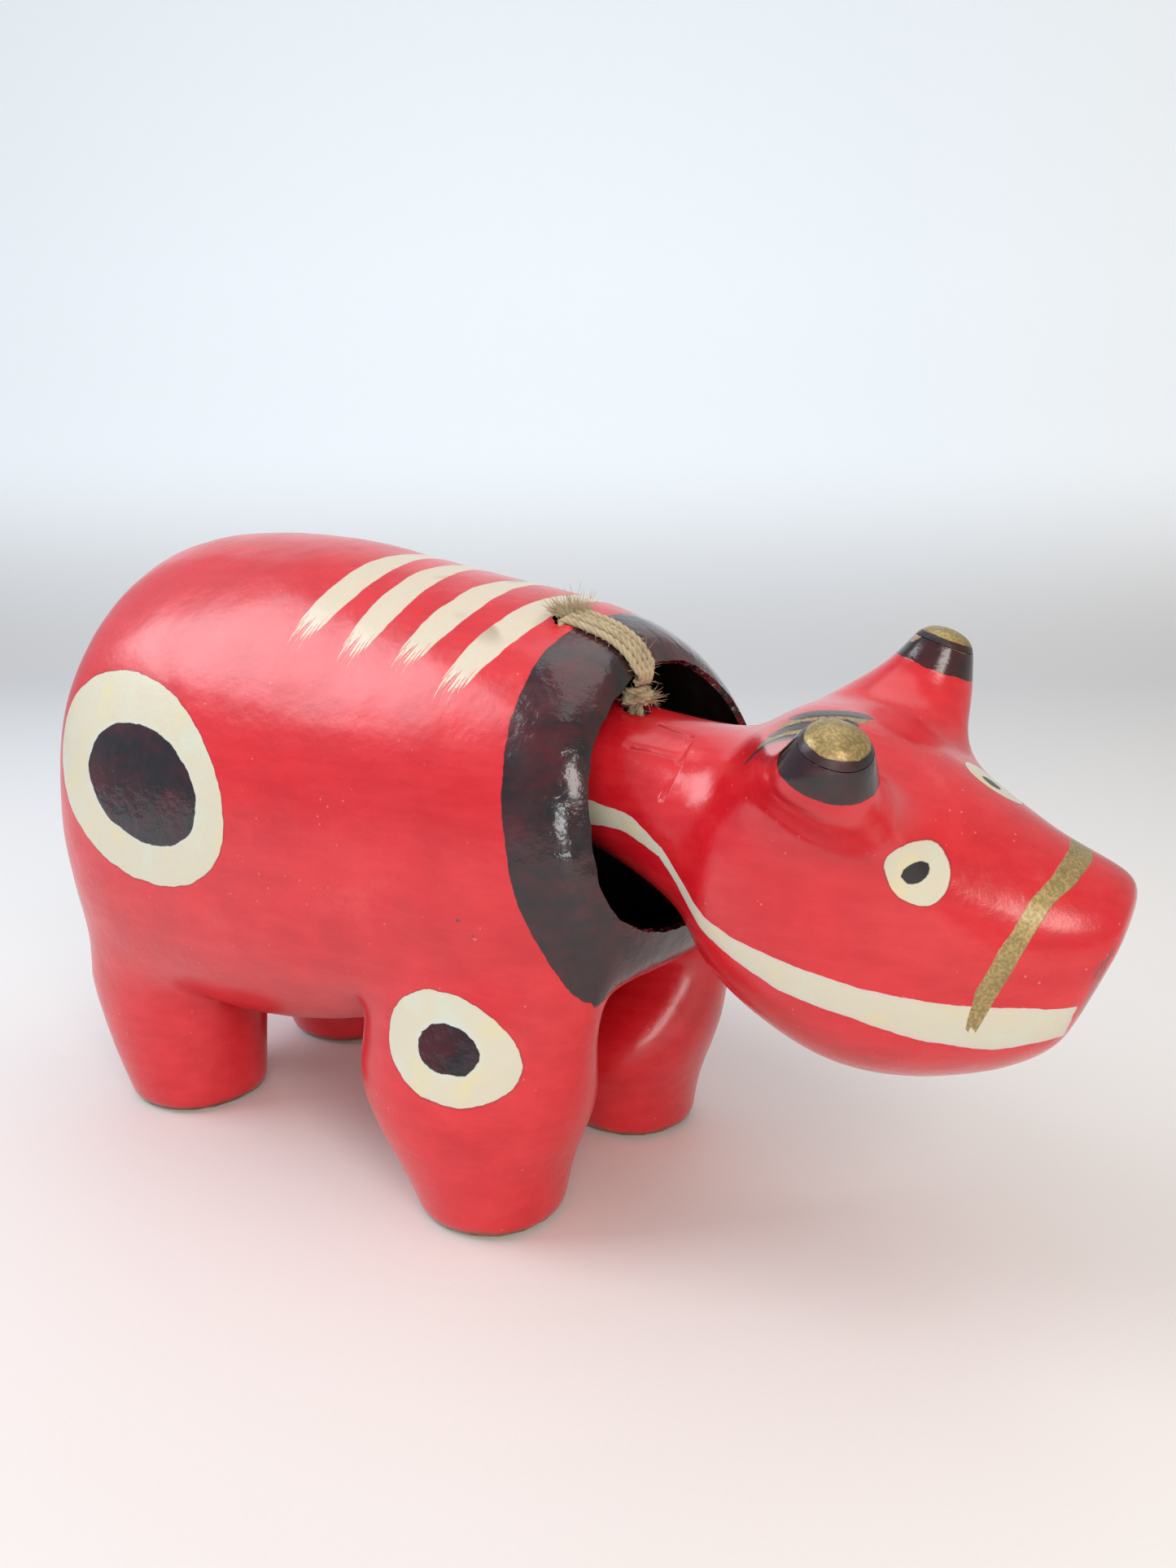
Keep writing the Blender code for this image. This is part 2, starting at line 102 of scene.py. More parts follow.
# back stripes: place along the body at the spine, the shoulder and the tip, and their reach down the side
STRIPES = ((0.0118, 0.0096, 0.0062, 0.0375), (0.0270, 0.0260, 0.0236, 0.0395),
           (0.0470, 0.0452, 0.0405, 0.0390), (0.0655, 0.0632, 0.0568, 0.0440))
COLLAR = ((0, 40, 63, 87, 113, 133, 142, 180),  # degrees round the opening from the top
          (0.0777, 0.0747, 0.0757, 0.0787, 0.0828, 0.0906, 0.0947, 0.0960))  # where the black collar starts
MOUTH = ((-0.0660, 0.0004, 0.0116, 0.0219, 0.0309, 0.0374, 0.0465, 0.0590, 0.0750, 0.0910, 0.1035, 0.1135),
         (-0.0205, -0.0206, -0.0180, -0.0205, -0.0258, -0.0288,
          -0.0300, -0.0302, -0.0284, -0.0272, -0.0250, -0.0215),
         (0.0032, 0.0032, 0.0022, 0.0013, 0.0014, 0.0018, 0.0026, 0.0040, 0.0040, 0.0052, 0.0060, 0.0045))
BAND = ((-0.031, -0.017, -0.006, 0.002, 0.007, 0.012), (0.0980, 0.0979, 0.0991, 0.1004, 0.1035, 0.1042),
        (0.0006, 0.0020, 0.0021, 0.0021, 0.0026, 0.0026))
MARKS = (0.0387, -0.0052, -0.0006, -0.0039)  # first forehead stroke, and the step to the next
MARK_WAY, MARK_LENGTH, MARK_HALF = (0.80, 0.59), 0.0155, 0.0019
SCAR = ((0.0642, -0.0515, 0.0848), (0.0720, -0.0492, 0.0773))
TORN_SPOT, TORN_RADIUS_MM = (0.0519, 0.0388, 0.0268), 2.0  # tear in the far horn
NOSTRIL = ((-0.0025, -0.0108), (-0.0078, -0.0151), (-0.0189, -0.0132))  # height and side along each stroke


# outside, inside and cut edge of each skin
SKIN_FINISHES = {
    "body": ("red lacquer with painted spots", "black wash on the inside", "chipped paper edge"),
    "head": ("red lacquer with painted face", "black wash on the inside", "chipped paper edge"),
    "cap": ("dull gold paint",) * 3,
}

# ---- camera ----
CAMERA_PLACE, CAMERA_TURN, CAMERA_FALL, CAMERA_LENS = (0.25022, -0.25472, 0.16814), 0.621, 0.1925, 27.894


class CowSizes(bpy.types.PropertyGroup):
    """Sizes that the pieces are made with."""

    wall: bpy.props.FloatProperty(name="Wall", description="Thickness of the paper wall", default=0.0018,
                                  unit="LENGTH", subtype="DISTANCE")
    lumps: bpy.props.FloatProperty(name="Lumps", description="Height of the lumps in the pasted paper",
                                   default=0.00032, unit="LENGTH", subtype="DISTANCE", precision=5)
    smooth: bpy.props.IntProperty(name="Smoothness", description="Subdivisions of the skins", default=4,
                                   min=2, max=5)
    twine: bpy.props.FloatProperty(name="Twine", description="Diameter of the hemp twine", default=0.0019,
                                   unit="LENGTH", subtype="DISTANCE", precision=4)
    turns: bpy.props.IntProperty(name="Turns", description="Turns of twine over the collar", default=4,
                                  min=1, max=6)
    fuzz: bpy.props.IntProperty(name="Fuzz", description="Loose fibres on each centimetre of twine",
                                 default=26)
    string_hole: bpy.props.FloatProperty(name="String hole", description="Radius of the hole in the back",
                                         default=0.0044, unit="LENGTH", subtype="DISTANCE", precision=4)
    neck_hole: bpy.props.FloatProperty(name="Neck hole", description="Radius of the hole in the neck",
                                       default=0.0034, unit="LENGTH", subtype="DISTANCE", precision=4)


class CowColours(bpy.types.PropertyGroup):
    """Colours of the finishes."""

    red: bpy.props.FloatVectorProperty(name="Red", description="Lacquer", subtype="COLOR",
                                       default=(0.66, 0.012, 0.022))
    deep: bpy.props.FloatVectorProperty(name="Deep red", description="Lacquer where it is thick", subtype="COLOR",
                                        default=(0.55, 0.007, 0.015))
    cream: bpy.props.FloatVectorProperty(name="Cream", description="Painted rings and stripes", subtype="COLOR",
                                         default=(0.64, 0.60, 0.47))
    black: bpy.props.FloatVectorProperty(name="Black", description="Black lacquer", subtype="COLOR",
                                         default=(0.008, 0.006, 0.009))
    maroon: bpy.props.FloatVectorProperty(name="Maroon", description="Red that shows through the black",
                                          subtype="COLOR", default=(0.085, 0.004, 0.008))
    gold: bpy.props.FloatVectorProperty(name="Gold", description="Dull gold paint", subtype="COLOR",
                                        default=(0.42, 0.30, 0.115))
    twine: bpy.props.FloatVectorProperty(name="Twine", description="Hemp", subtype="COLOR",
                                         default=(0.60, 0.48, 0.29))


# ---- modelling helpers ----
def sizes():
    return bpy.context.scene.cow_sizes


def colours():
    return bpy.context.scene.cow_colours


def activate(obj):
    bpy.ops.object.select_all(action="DESELECT")
    obj.select_set(True)
    bpy.context.view_layer.objects.active = obj


def apply_modifier(obj, kind, **settings):
    """A modifier added with these settings and applied."""
    activate(obj)
    modifier = obj.modifiers.new(kind.lower(), kind)
    for key, value in settings.items():
        setattr(modifier, key, value)
    bpy.ops.object.modifier_apply(modifier=modifier.name)


def mesh_object(name, verts, faces):
    mesh = bpy.data.meshes.new(name)
    mesh.from_pydata([tuple(v) for v in verts], [], faces)
    obj = bpy.data.objects.new(name, mesh)
    bpy.context.scene.collection.objects.link(obj)
    return obj


def places(obj):
    found = np.empty(len(obj.data.vertices) * 3, np.float32)
    obj.data.vertices.foreach_get("co", found)
    return found.reshape(-1, 3).astype(float)


def store(obj, name, values):
    """A number for each vertex, in millimetres where it is a distance."""
    layer = obj.data.attributes.new(name, "FLOAT", "POINT")
    layer.data.foreach_set("value", np.asarray(values, np.float32))


def dress(obj, *finishes):
    obj.data.materials.clear()
    for name in finishes:
        obj.data.materials.append(bpy.data.materials[name])


def shade(obj, angle=50):
    activate(obj)
    bpy.ops.object.shade_smooth_by_angle(angle=radians(angle))


# ---- the two cages ----
def ring_point(ring, j, powers):
    along, top, bottom, width, lean = ring
    angle = radians(RING_ANGLES[j])
    power = 2 / powers[0 if angle > 0 else 1]
    side = width * abs(cos(angle)) ** power if 0 < j < len(RING_ANGLES) - 1 else 0.0
    rise = (top - bottom) / 2 * abs(sin(angle)) ** power * (1 if angle > 0 else -1)
    return Vector((along + lean * rise, side, (top + bottom) / 2 + rise))


def cage(name, rings, powers, cap, bulge, limbs):
    """A tube of rings closed at one end (cap 0 or -1), with square limbs pulled out of cells of it."""
    cap %= len(rings)
    last = len(RING_ANGLES) - 1
    points, faces = {}, []

    def corner(kind, a, b, side, place):
        key = (kind, a, b, 0 if abs(place.y) < 1e-9 else side)
        points.setdefault(key, Vector((place.x, place.y * side, place.z)))
        return key

    def on_ring(i, j, side):
        return corner("ring", i, j, side, ring_point(rings[i], j, powers))

    def on_cap(a, b, side):
        for edge, j in ((b == 0, a), (b == DOWN, last - a), (a == ACROSS, ACROSS + b)):
            if edge:
                return on_ring(cap, j, side)
        upper, lower = ring_point(rings[cap], a, powers), ring_point(rings[cap], last - a, powers)
        place = upper.lerp(lower, b / DOWN)
        place.x += bulge if cap else -bulge
        place.y = rings[cap][3] * a / ACROSS * 0.9
        return corner("cap", a, b, side, place)

    for side in (1, -1):
        for i in range(len(rings) - 1):
            for j in range(last):
                keys = [on_ring(i, j, side), on_ring(i, j + 1, side),
                        on_ring(i + 1, j + 1, side), on_ring(i + 1, j, side)]
                for n, loop in enumerate(limbs.get((i, j), ())):
                    new = [corner(("limb", i, j), n, k, side, place) for k, place in enumerate(loop)]
                    for k in range(4):
                        faces.append([keys[k], keys[(k + 1) % 4], new[(k + 1) % 4], new[k]][::side])
                    keys = new
                faces.append(keys[::side])
        for a in range(ACROSS):
            for b in range(DOWN):
                keys = [on_cap(a, b, side), on_cap(a, b + 1, side),
                        on_cap(a + 1, b + 1, side), on_cap(a + 1, b, side)]
                faces.append(keys[::-1] if (side < 0) == (cap == 0) else keys)
    index = {key: n for n, key in enumerate(points)}
    return mesh_object(name, points.values(), [[index[key] for key in reversed(face)] for face in faces])


SQUARE = ((-1, 1), (-1, -1), (1, -1), (1, 1))


def leg_loops(loops):
    return [[Vector((x + a * length, y + b * width, z + b * (0.004 if n == 0 else 0))) for a, b in SQUARE]
            for n, (x, y, z, length, width) in enumerate(loops)]


def horn_loops():
    forward = (Vector((1, 0, 0)) - HORN_AXIS * HORN_AXIS.x).normalized()
    inward = HORN_AXIS.cross(forward)
    inward *= -1 if inward.y > 0 else 1
    return [[HORN_ROOT.lerp(HORN_TIP, t) + forward * r * a + inward * r * b for a, b in SQUARE]
            for t, r in zip((0, 0.55, 1), HORN_RADII)]


def lumpy(obj, height):
    """Pasted paper is never quite even: broad lumps and small folds."""
    ways = [vert.normal.copy() for vert in obj.data.vertices]
    for vert, way in zip(obj.data.vertices, ways):
        broad = noise.noise(vert.co * 38) * 0.9 + noise.noise(vert.co * 85 + Vector((3, 1, 7))) * 0.45
        fold = 0.10 - abs(noise.noise(vert.co * 130 + Vector((9, 2, 4)))) * 0.35
        vert.co += way * height * (broad + fold)


def open_hole(obj, middle, radius, ragged, upper):
    """A round hole with a torn edge, in the part of the skin above the height upper."""
    mesh = bmesh.new()
    mesh.from_mesh(obj.data)
    flat = Vector((*middle, 0))

    def reach(vert):
        return ((vert.co - flat) * Vector((1, 1, 0))).length

    gone = [f for f in mesh.faces
            if f.calc_center_median().z > upper and max(map(reach, f.verts)) < radius * 1.12]
    bmesh.ops.delete(mesh, geom=gone, context="FACES")
    for vert in mesh.verts:
        if vert.is_boundary and vert.co.z > upper and reach(vert) < radius * 1.6:
            way = (vert.co - flat) * Vector((1, 1, 0))
            wanted = radius * (1 + ragged * noise.noise(way.normalized() * 2.6 + Vector((5, 5, 5))))
            vert.co += way.normalized() * (wanted - way.length)
    mesh.to_mesh(obj.data)
    mesh.free()


def cut_flat(obj, place, normal):
    """The skin past a plane is cut away, with the bisect tool."""
    activate(obj)
    bpy.ops.object.mode_set(mode="EDIT")
    bpy.ops.mesh.select_all(action="SELECT")
    bpy.ops.mesh.bisect(plane_co=place, plane_no=normal, clear_outer=True)
    bpy.ops.object.mode_set(mode="OBJECT")


def ragged_rim(obj, past, depth):
    """The rim of the opening, torn and chipped a little."""
    mesh = bmesh.new()
    mesh.from_mesh(obj.data)
    moves = []
    for vert in mesh.verts:
        if vert.is_boundary and vert.co.x > past:
            for edge in vert.link_edges:
                if not edge.is_boundary:
                    inward = (edge.other_vert(vert).co - vert.co).normalized()
                    amount = 0.5 * noise.noise(vert.co * 260) + 0.5 * max(0, noise.noise(vert.co * 95)) ** 0.7
                    moves.append((vert, inward * depth * amount))
    for vert, move in moves:
        vert.co += move
    mesh.to_mesh(obj.data)
    mesh.free()


def ellipse_distance(along, up, ellipse):
    """Millimetres outside an ellipse, and less than nothing inside it."""
    x0, z0, a, b, rise, _ = ellipse
    c, s = cos(radians(rise)), sin(radians(rise))
    u, v = -(along - x0) * c + (up - z0) * s, (along - x0) * s + (up - z0) * c
    reach = np.sqrt((u / a) ** 2 + (v / b) ** 2) + 1e-6
    return np.maximum((np.hypot(u, v) + 1e-7) * (1 - 1 / reach), -min(a, b)) * 1000


def spots(place, ellipses):
    found = np.full(len(place), 50.0)
    for ellipse in ellipses:
        near = ellipse_distance(place[:, 0], place[:, 2], ellipse)
        off = np.clip(ellipse[5] - np.abs(place[:, 1]), 0, 1) * 4000
        found = np.minimum(found, near + off)
    return found


def paint_body(obj):
    """The places of the paint on the body, as distances at each vertex."""
    p = places(obj)
    x, y, z = p.T
    store(obj, "ring", spots(p, RINGS))
    store(obj, "pupil", spots(p, PUPILS))
    round_top = np.degrees(np.abs(np.arctan2(y, z - 0.109)))
    store(obj, "collar", (np.interp(round_top, *COLLAR) - x) * 1000)
    down = np.arctan2(np.abs(y), z - 0.10) * 0.05
    best, tip, across = np.full(len(p), 1e3), np.zeros(len(p)), np.zeros(len(p))
    for spine, shoulder, end, reach in STRIPES:
        middle = np.interp(down, (0, 0.018, reach), (spine, shoulder, end))
        half = np.interp(down / reach, (0, 0.3, 0.62, 0.9, 1.0), (0.0030, 0.0046, 0.0050, 0.0040, 0.0030))
        over = (x - middle) / half
        closer = np.abs(over) < np.abs(best)
        best = np.where(closer, over, best)
        tip = np.where(closer, (reach - down) * 1000, tip)
        across = np.where(closer, (x - middle) * 1000, across)
    store(obj, "stroke_over", np.clip(np.abs(best), 0, 5))
    store(obj, "stroke_tip", np.where(z > 0.12, tip, -20))
    store(obj, "stroke_across", across)
    a, b = np.array(SCAR)
    t = np.clip((p - a) @ (b - a) / ((b - a) @ (b - a)), 0, 1)
    store(obj, "scar", np.linalg.norm(p - a - t[:, None] * (b - a), axis=1) * 1000)


def polyline_distance(points, corners):
    """Distance to a chain of points, and how far along it, from 0 to 1."""
    corners = np.array(corners, float)
    found, share = np.full(len(points), 1e3), np.zeros(len(points))
    for n, (a, b) in enumerate(zip(corners[:-1], corners[1:])):
        t = np.clip((points - a) @ (b - a) / ((b - a) @ (b - a)), 0, 1)
        near = np.linalg.norm(points - a - t[:, None] * (b - a), axis=1)
        share = np.where(near < found, (n + t) / (len(corners) - 1), share)
        found = np.minimum(found, near)
    return found, share


def paint_head(obj):
    """The places of the paint on the head, in its own axes."""
    p = places(obj)
    x, y, z = p.T
    side = np.abs(y)
    middle, half = np.interp(x, MOUTH[0], MOUTH[1]), np.interp(x, MOUTH[0], MOUTH[2])
    mouth = np.maximum(np.abs(z - middle) - half, x - 0.1148) * 1000
    store(obj, "mouth", np.where(side > 0.006, mouth, 9.0))
    near_eye = np.where(y < 0, ellipse_distance(x, z, (0.0770, 0.0024, 0.0070, 0.0051, 41, 0)), 9.0)
    near_iris = np.where(y < 0, ellipse_distance(x, z, (0.0767, 0.0026, 0.0026, 0.0021, -47, 0)), 9.0)
    far_eye = np.hypot((x - 0.0815) / 0.0072, (y - 0.0098) / 0.0062) - 1
    far_iris = np.hypot((x - 0.0812) / 0.0023, (y - 0.0080) / 0.0021) - 1
    upper = z > -0.012
    store(obj, "eye", np.minimum(near_eye, np.where(upper, far_eye * 6.6, 9.0)))
    store(obj, "iris", np.minimum(near_iris, np.where(upper, far_iris * 2.2, 9.0)))
    band = (np.abs(x - np.interp(z, BAND[0], BAND[1])) - np.interp(z, BAND[0], BAND[2])) * 1000
    store(obj, "band", np.maximum(band, (-0.0315 - z) * 1000))
    store(obj, "band_end", (z + 0.0315) * 1000)
    for word, turns in (("mark_black", (0, 2, 4)), ("mark_gold", (1, 3))):
        best = np.full(len(p), 9.0)
        for k in turns:
            u, v = x - MARKS[0] - MARKS[2] * k, y - MARKS[1] - MARKS[3] * k
            along, over = u * MARK_WAY[0] + v * MARK_WAY[1], -u * MARK_WAY[1] + v * MARK_WAY[0]
            beyond = np.maximum(np.maximum(-along, along - MARK_LENGTH), 0)
            best = np.minimum(best, (np.hypot(beyond, over) - MARK_HALF) * 1000)
        store(obj, word, np.where((z > -0.002) & (side < 0.03), best, 9.0))
    root = np.array(HORN_ROOT)
    height = (np.stack([x, side, z], 1) - root) @ np.array(HORN_AXIS)
    off = np.linalg.norm(np.stack([x, side, z], 1) - root - height[:, None] * np.array(HORN_AXIS), axis=1)
    store(obj, "horn", np.where(off < 0.02, height * 1000, -20))
    chain, share = polyline_distance(np.stack([z, side], 1), NOSTRIL * np.array((1, -1)))
    store(obj, "nostril", np.where(x > 0.105, chain * 1000, 30))
    store(obj, "nostril_along", share * 10)
    store(obj, "torn", np.linalg.norm(p - np.array(TORN_SPOT), axis=1) * 1000 - TORN_RADIUS_MM)
    crease = polyline_distance(p, ((0.0040, -0.0133, -0.0037), (0.0100, -0.0132, -0.0022), (0.0177, -0.0131, -0.0012),
                                   (0.0190, -0.0170, -0.0050), (0.0180, -0.0207, -0.0093)))[0]
    fold = polyline_distance(p, ((0.0073, -0.0038, 0.0), (0.0162, -0.0058, 0.0011), (0.0177, -0.0131, -0.0012)))[0]
    store(obj, "crease", np.minimum(crease, fold) * 1000)


# ---- node helpers ----
class Tree:
    """Short calls for adding nodes to a material or group."""

    def __init__(self, tree):
        self.tree = tree

    def add(self, kind, out=0, settings=(), **inputs):
        node = self.tree.nodes.new(kind)
        for key, value in dict(settings).items():
            setattr(node, key, value)
        for key, value in inputs.items():
            numbered = key[0] == "i" and key[1:].isdigit()
            self.put(node.inputs[int(key[1:]) if numbered else key.replace("_", " ")], value)
        return node.outputs[out]

    def put(self, socket, value):
        if isinstance(value, bpy.types.NodeSocket):
            self.tree.links.new(value, socket)
        elif isinstance(value, (tuple, list)) and len(value) == 3 and socket.type == "RGBA":
            socket.default_value = (*value, 1)
        else:
            socket.default_value = value

    def maths(self, operation, a, b=0.0, c=0.0):
        return self.add("ShaderNodeMath", settings={"operation": operation}, i0=a, i1=b, i2=c)

    def times(self, a, b):
        return self.maths("MULTIPLY", a, b)

    def times_add(self, a, b, c):
        return self.maths("MULTIPLY_ADD", a, b, c)

    def larger(self, a, b):
        return self.maths("MAXIMUM", a, b)

    def minus(self, a, b):
        return self.maths("SUBTRACT", a, b)

    def between(self, share, a, b):
        return self.add("ShaderNodeMix", settings={"data_type": "FLOAT"}, i0=share, i2=a, i3=b)

    def smooth(self, value, low, high, start=0.0, end=1.0):
        return self.add("ShaderNodeMapRange", settings={"interpolation_type": "SMOOTHSTEP"}, i0=value, i1=low,
                        i2=high, i3=start, i4=end)

    def mix(self, share, a, b):
        return self.add("ShaderNodeMix", out=2, settings={"data_type": "RGBA"}, i0=share, i6=a, i7=b)

    def noise(self, where, scale, detail=2.0, rough=0.5):
        return self.add("ShaderNodeTexNoise", Vector=where, Scale=scale, Detail=detail, Roughness=rough)

    def attribute(self, name):
        return self.add("ShaderNodeAttribute", out=2, settings={"attribute_name": name})

    def group(self, name, out, **inputs):
        node = self.tree.nodes.new("ShaderNodeGroup")
        node.node_tree = bpy.data.node_groups[name]
        for key, value in inputs.items():
            self.put(node.inputs[key.replace("_", " ")], value)
        return node.outputs[out]


def new_group(name, inputs, outputs):
    """An empty node group with float or vector sockets; returns its Tree, its inputs and its output node."""
    made = bpy.data.node_groups.new(name, "ShaderNodeTree")
    for label, kind, value in inputs:
        socket = made.interface.new_socket(label, in_out="INPUT", socket_type=kind)
        if value is not None:
            socket.default_value = value
    for label in outputs:
        made.interface.new_socket(label, in_out="OUTPUT", socket_type="NodeSocketFloat")
    return Tree(made), made.nodes.new("NodeGroupInput").outputs, made.nodes.new("NodeGroupOutput").inputs


def build_groups():
    """Effects that several finishes share."""
    sockets = [("Distance", "NodeSocketFloat", 0.0), ("Vector", "NodeSocketVector", None),
               ("Wobble", "NodeSocketFloat", 0.5), ("Soft", "NodeSocketFloat", 0.12)]
    t, given, out = new_group("hand painted edge", sockets, ["Mask"])
    wave = t.minus(t.noise(given["Vector"], 190, 1), 0.5)
    fine = t.minus(t.noise(given["Vector"], 900, 1), 0.5)
    wave = t.times_add(wave, 2.2, t.times(fine, 0.5))
    moved = t.times_add(wave, given["Wobble"], given["Distance"])
    low = t.times(given["Soft"], -1.0)
    t.put(out["Mask"], t.smooth(moved, low, given["Soft"], 1.0, 0.0))

    t, given, out = new_group("pasted paper", [("Vector", "NodeSocketVector", None)], ["Height", "Mottle", "Specks"])
    broad = t.noise(given["Vector"], 120, 2)
    small = t.noise(given["Vector"], 420, 3, 0.6)
    grain = t.noise(given["Vector"], 2300, 2)
    height = t.times_add(small, 0.35, t.times(broad, 1.0))
    t.put(out["Height"], t.times_add(grain, 0.06, height))
    t.put(out["Mottle"], t.smooth(t.noise(given["Vector"], 46, 5, 0.62), 0.30, 0.72))
    cells = t.add("ShaderNodeTexVoronoi", Vector=given["Vector"], Scale=330.0)
    rare = t.smooth(t.noise(given["Vector"], 60, 1), 0.52, 0.60)
    t.put(out["Specks"], t.times(t.smooth(cells, 0.05, 0.12, 1.0, 0.0), rare))

    t, given, out = new_group("brush streaks", [("Vector", "NodeSocketVector", None)], ["Streaks"])
    streaks = t.noise(given["Vector"], 1.0, 4, 0.62)
    t.put(out["Streaks"], t.smooth(streaks, 0.38, 0.66))


def object_space(t, stretch=None):
    where = t.add("ShaderNodeTexCoord", out=3)
    if stretch is None:
        return where
    return t.add("ShaderNodeMapping", Vector=where, Scale=stretch)


def new_material(name, **constants):
    """A material with its Principled BSDF, whose constant sockets are set, and the Tree to add to."""
    made = bpy.data.materials.new(name)
    made.use_nodes = True
    shader = made.node_tree.nodes["Principled BSDF"]
    for key, value in constants.items():
        shader.inputs[key.replace("_", " ")].default_value = value
    return made, Tree(made.node_tree), shader.inputs


def bump(t, shader, height, distance, strength=1.0):
    t.put(shader["Normal"], t.add("ShaderNodeBump", Strength=strength, Distance=distance, Height=height))


def red_ground(t, where):
    """Red lacquer, mottled by the brush, with a few pale specks and faint scuffs."""
    c = colours()
    mottle = t.group("pasted paper", "Mottle", Vector=where)
    specks = t.group("pasted paper", "Specks", Vector=where)
    streaks = t.group("brush streaks", "Streaks", Vector=object_space(t, (55, 160, 260)))
    base = t.mix(mottle, tuple(c.deep), tuple(c.red))
    base = t.mix(t.times(streaks, 0.22), base, (0.80, 0.045, 0.05))
    scuff = t.smooth(t.noise(where, 24, 6, 0.7), 0.60, 0.74)
    base = t.mix(t.times(scuff, 0.16), base, (0.85, 0.16, 0.15))
    base = t.mix(t.times(specks, 0.4), base, (0.80, 0.36, 0.30))
    return base, mottle, scuff


def cream_coat(t, where):
    """Cream paint, a little thin in places, with faint green, yellow and lilac in it."""
    cream = tuple(colours().cream)
    tint = t.noise(where, 95, 2)
    base = t.mix(t.smooth(tint, 0.52, 0.70, 0.0, 0.55), cream, (0.60, 0.66, 0.55))
    base = t.mix(t.smooth(tint, 0.30, 0.46, 0.45, 0.0), base, (0.72, 0.62, 0.30))
    thin = t.smooth(t.noise(where, 330, 4, 0.7), 0.56, 0.78, 0.0, 0.22)
    return t.mix(thin, base, (0.62, 0.40, 0.36))


def black_coat(t, where, show=0.5):
    """Black lacquer brushed over the red, which shows through as maroon."""
    c = colours()
    streaks = t.group("brush streaks", "Streaks", Vector=object_space(t, (90, 240, 240)))
    blots = t.smooth(t.noise(where, 62, 4, 0.6), 0.46, 0.66)
    amount = t.times(t.times_add(streaks, 0.45, t.times(blots, 0.75)), show)
    return t.mix(amount, tuple(c.black), tuple(c.maroon))


def edge(t, where, name, wobble=0.5, soft=0.12, shift=0.0):
    distance = t.attribute(name)
    if shift:
        distance = t.maths("ADD", distance, shift)
    return t.group("hand painted edge", "Mask", Distance=distance, Vector=where, Wobble=wobble, Soft=soft)


def lacquer(name):
    return new_material(name, Coat_Weight=0.35, Coat_Roughness=0.16, Coat_IOR=1.5)


def body_paint():
    made, t, shader = lacquer("red lacquer with painted spots")
    where = object_space(t)
    base, mottle, scuff = red_ground(t, where)
    cream, black = cream_coat(t, where), black_coat(t, where, 0.62)
    # rings: a thin dark outline, the cream, a pale line, then the black middle
    outline, ring = edge(t, where, "ring", 0.55, 0.25, -0.35), edge(t, where, "ring", 0.55)
    halo, pupil = edge(t, where, "pupil", 0.7, 0.3, -0.9), edge(t, where, "pupil", 0.7)
    base = t.mix(t.times(outline, 0.55), base, (0.22, 0.006, 0.012))
    base = t.mix(ring, base, cream)
    base = t.mix(t.times(halo, 0.5), base, (0.58, 0.66, 0.60))
    base = t.mix(pupil, base, black)
    # back stripes with forked dry ends
    tip, across = t.attribute("stroke_tip"), t.attribute("stroke_across")
    bristles = t.add("ShaderNodeCombineXYZ", X=t.times(across, 1.9), Y=t.times(tip, 0.10))
    fork = t.times(t.minus(t.noise(bristles, 1.0, 3, 0.6), 0.44), 34)
    reach = t.smooth(t.minus(tip, fork), -0.1, 0.3)
    over = t.attribute("stroke_over")
    wave = t.minus(t.noise(where, 170, 2), 0.5)
    inside = t.smooth(t.times_add(wave, 0.28, over), 0.93, 1.0, 1.0, 0.0)
    stripe = t.times(reach, inside)
    dry = t.smooth(t.noise(bristles, 2.6, 3, 0.6), 0.50, 0.70, 0.0, 0.35)
    stain = t.times(t.smooth(t.noise(where, 52, 1), 0.60, 0.68), t.smooth(tip, 12, 20, 0.0, 0.75))
    faded = t.mix(dry, t.mix(stain, (0.66, 0.58, 0.45), (0.33, 0.27, 0.18)), (0.70, 0.30, 0.25))
    base = t.mix(stripe, base, faded)
    # black collar
    collar = edge(t, where, "collar", 0.55)
    dull = t.smooth(t.noise(where, 40, 4, 0.7), 0.42, 0.66)
    sheen = t.mix(t.times(dull, 0.16), black, (0.12, 0.045, 0.055))
    base = t.mix(collar, base, sheen)
    scar = t.attribute("scar")
    tear = t.smooth(t.times_add(t.noise(where, 700, 2), 1.6, scar), 1.0, 1.5, 1.0, 0.0)
    torn = t.mix(t.smooth(t.noise(where, 900, 1), 0.45, 0.6), (0.10, 0.01, 0.02), (0.66, 0.28, 0.25))
    base = t.mix(tear, base, torn)
    # the soles' edges are rubbed brown
    # the skin is painted browner within about 4 mm of the floor
    height = t.add("ShaderNodeSeparateXYZ", out=2, Vector=where)
    low_brown = t.smooth(t.times_add(t.noise(where, 160, 3), 0.003, height), 0.0028, 0.0042, 0.75, 0.0)
    base = t.mix(low_brown, base, (0.16, 0.06, 0.03))
    t.put(shader["Base Color"], base)
    dark = t.larger(collar, pupil)
    light = t.larger(stripe, ring)
    rough = t.times_add(mottle, -0.06, t.times_add(scuff, 0.12, 0.34))
    rough = t.between(light, rough, 0.46)
    glossy = t.times_add(dull, 0.16, 0.10)
    t.put(shader["Roughness"], t.between(dark, rough, glossy))
    paper = t.group("pasted paper", "Height", Vector=where)
    relief = t.times_add(t.larger(light, dark), 0.22, t.times_add(tear, -0.8, paper))
    relief = t.times_add(t.times(dark, t.noise(where, 210, 3)), 0.9, relief)
    bump(t, shader, relief, 0.00028)
    return made


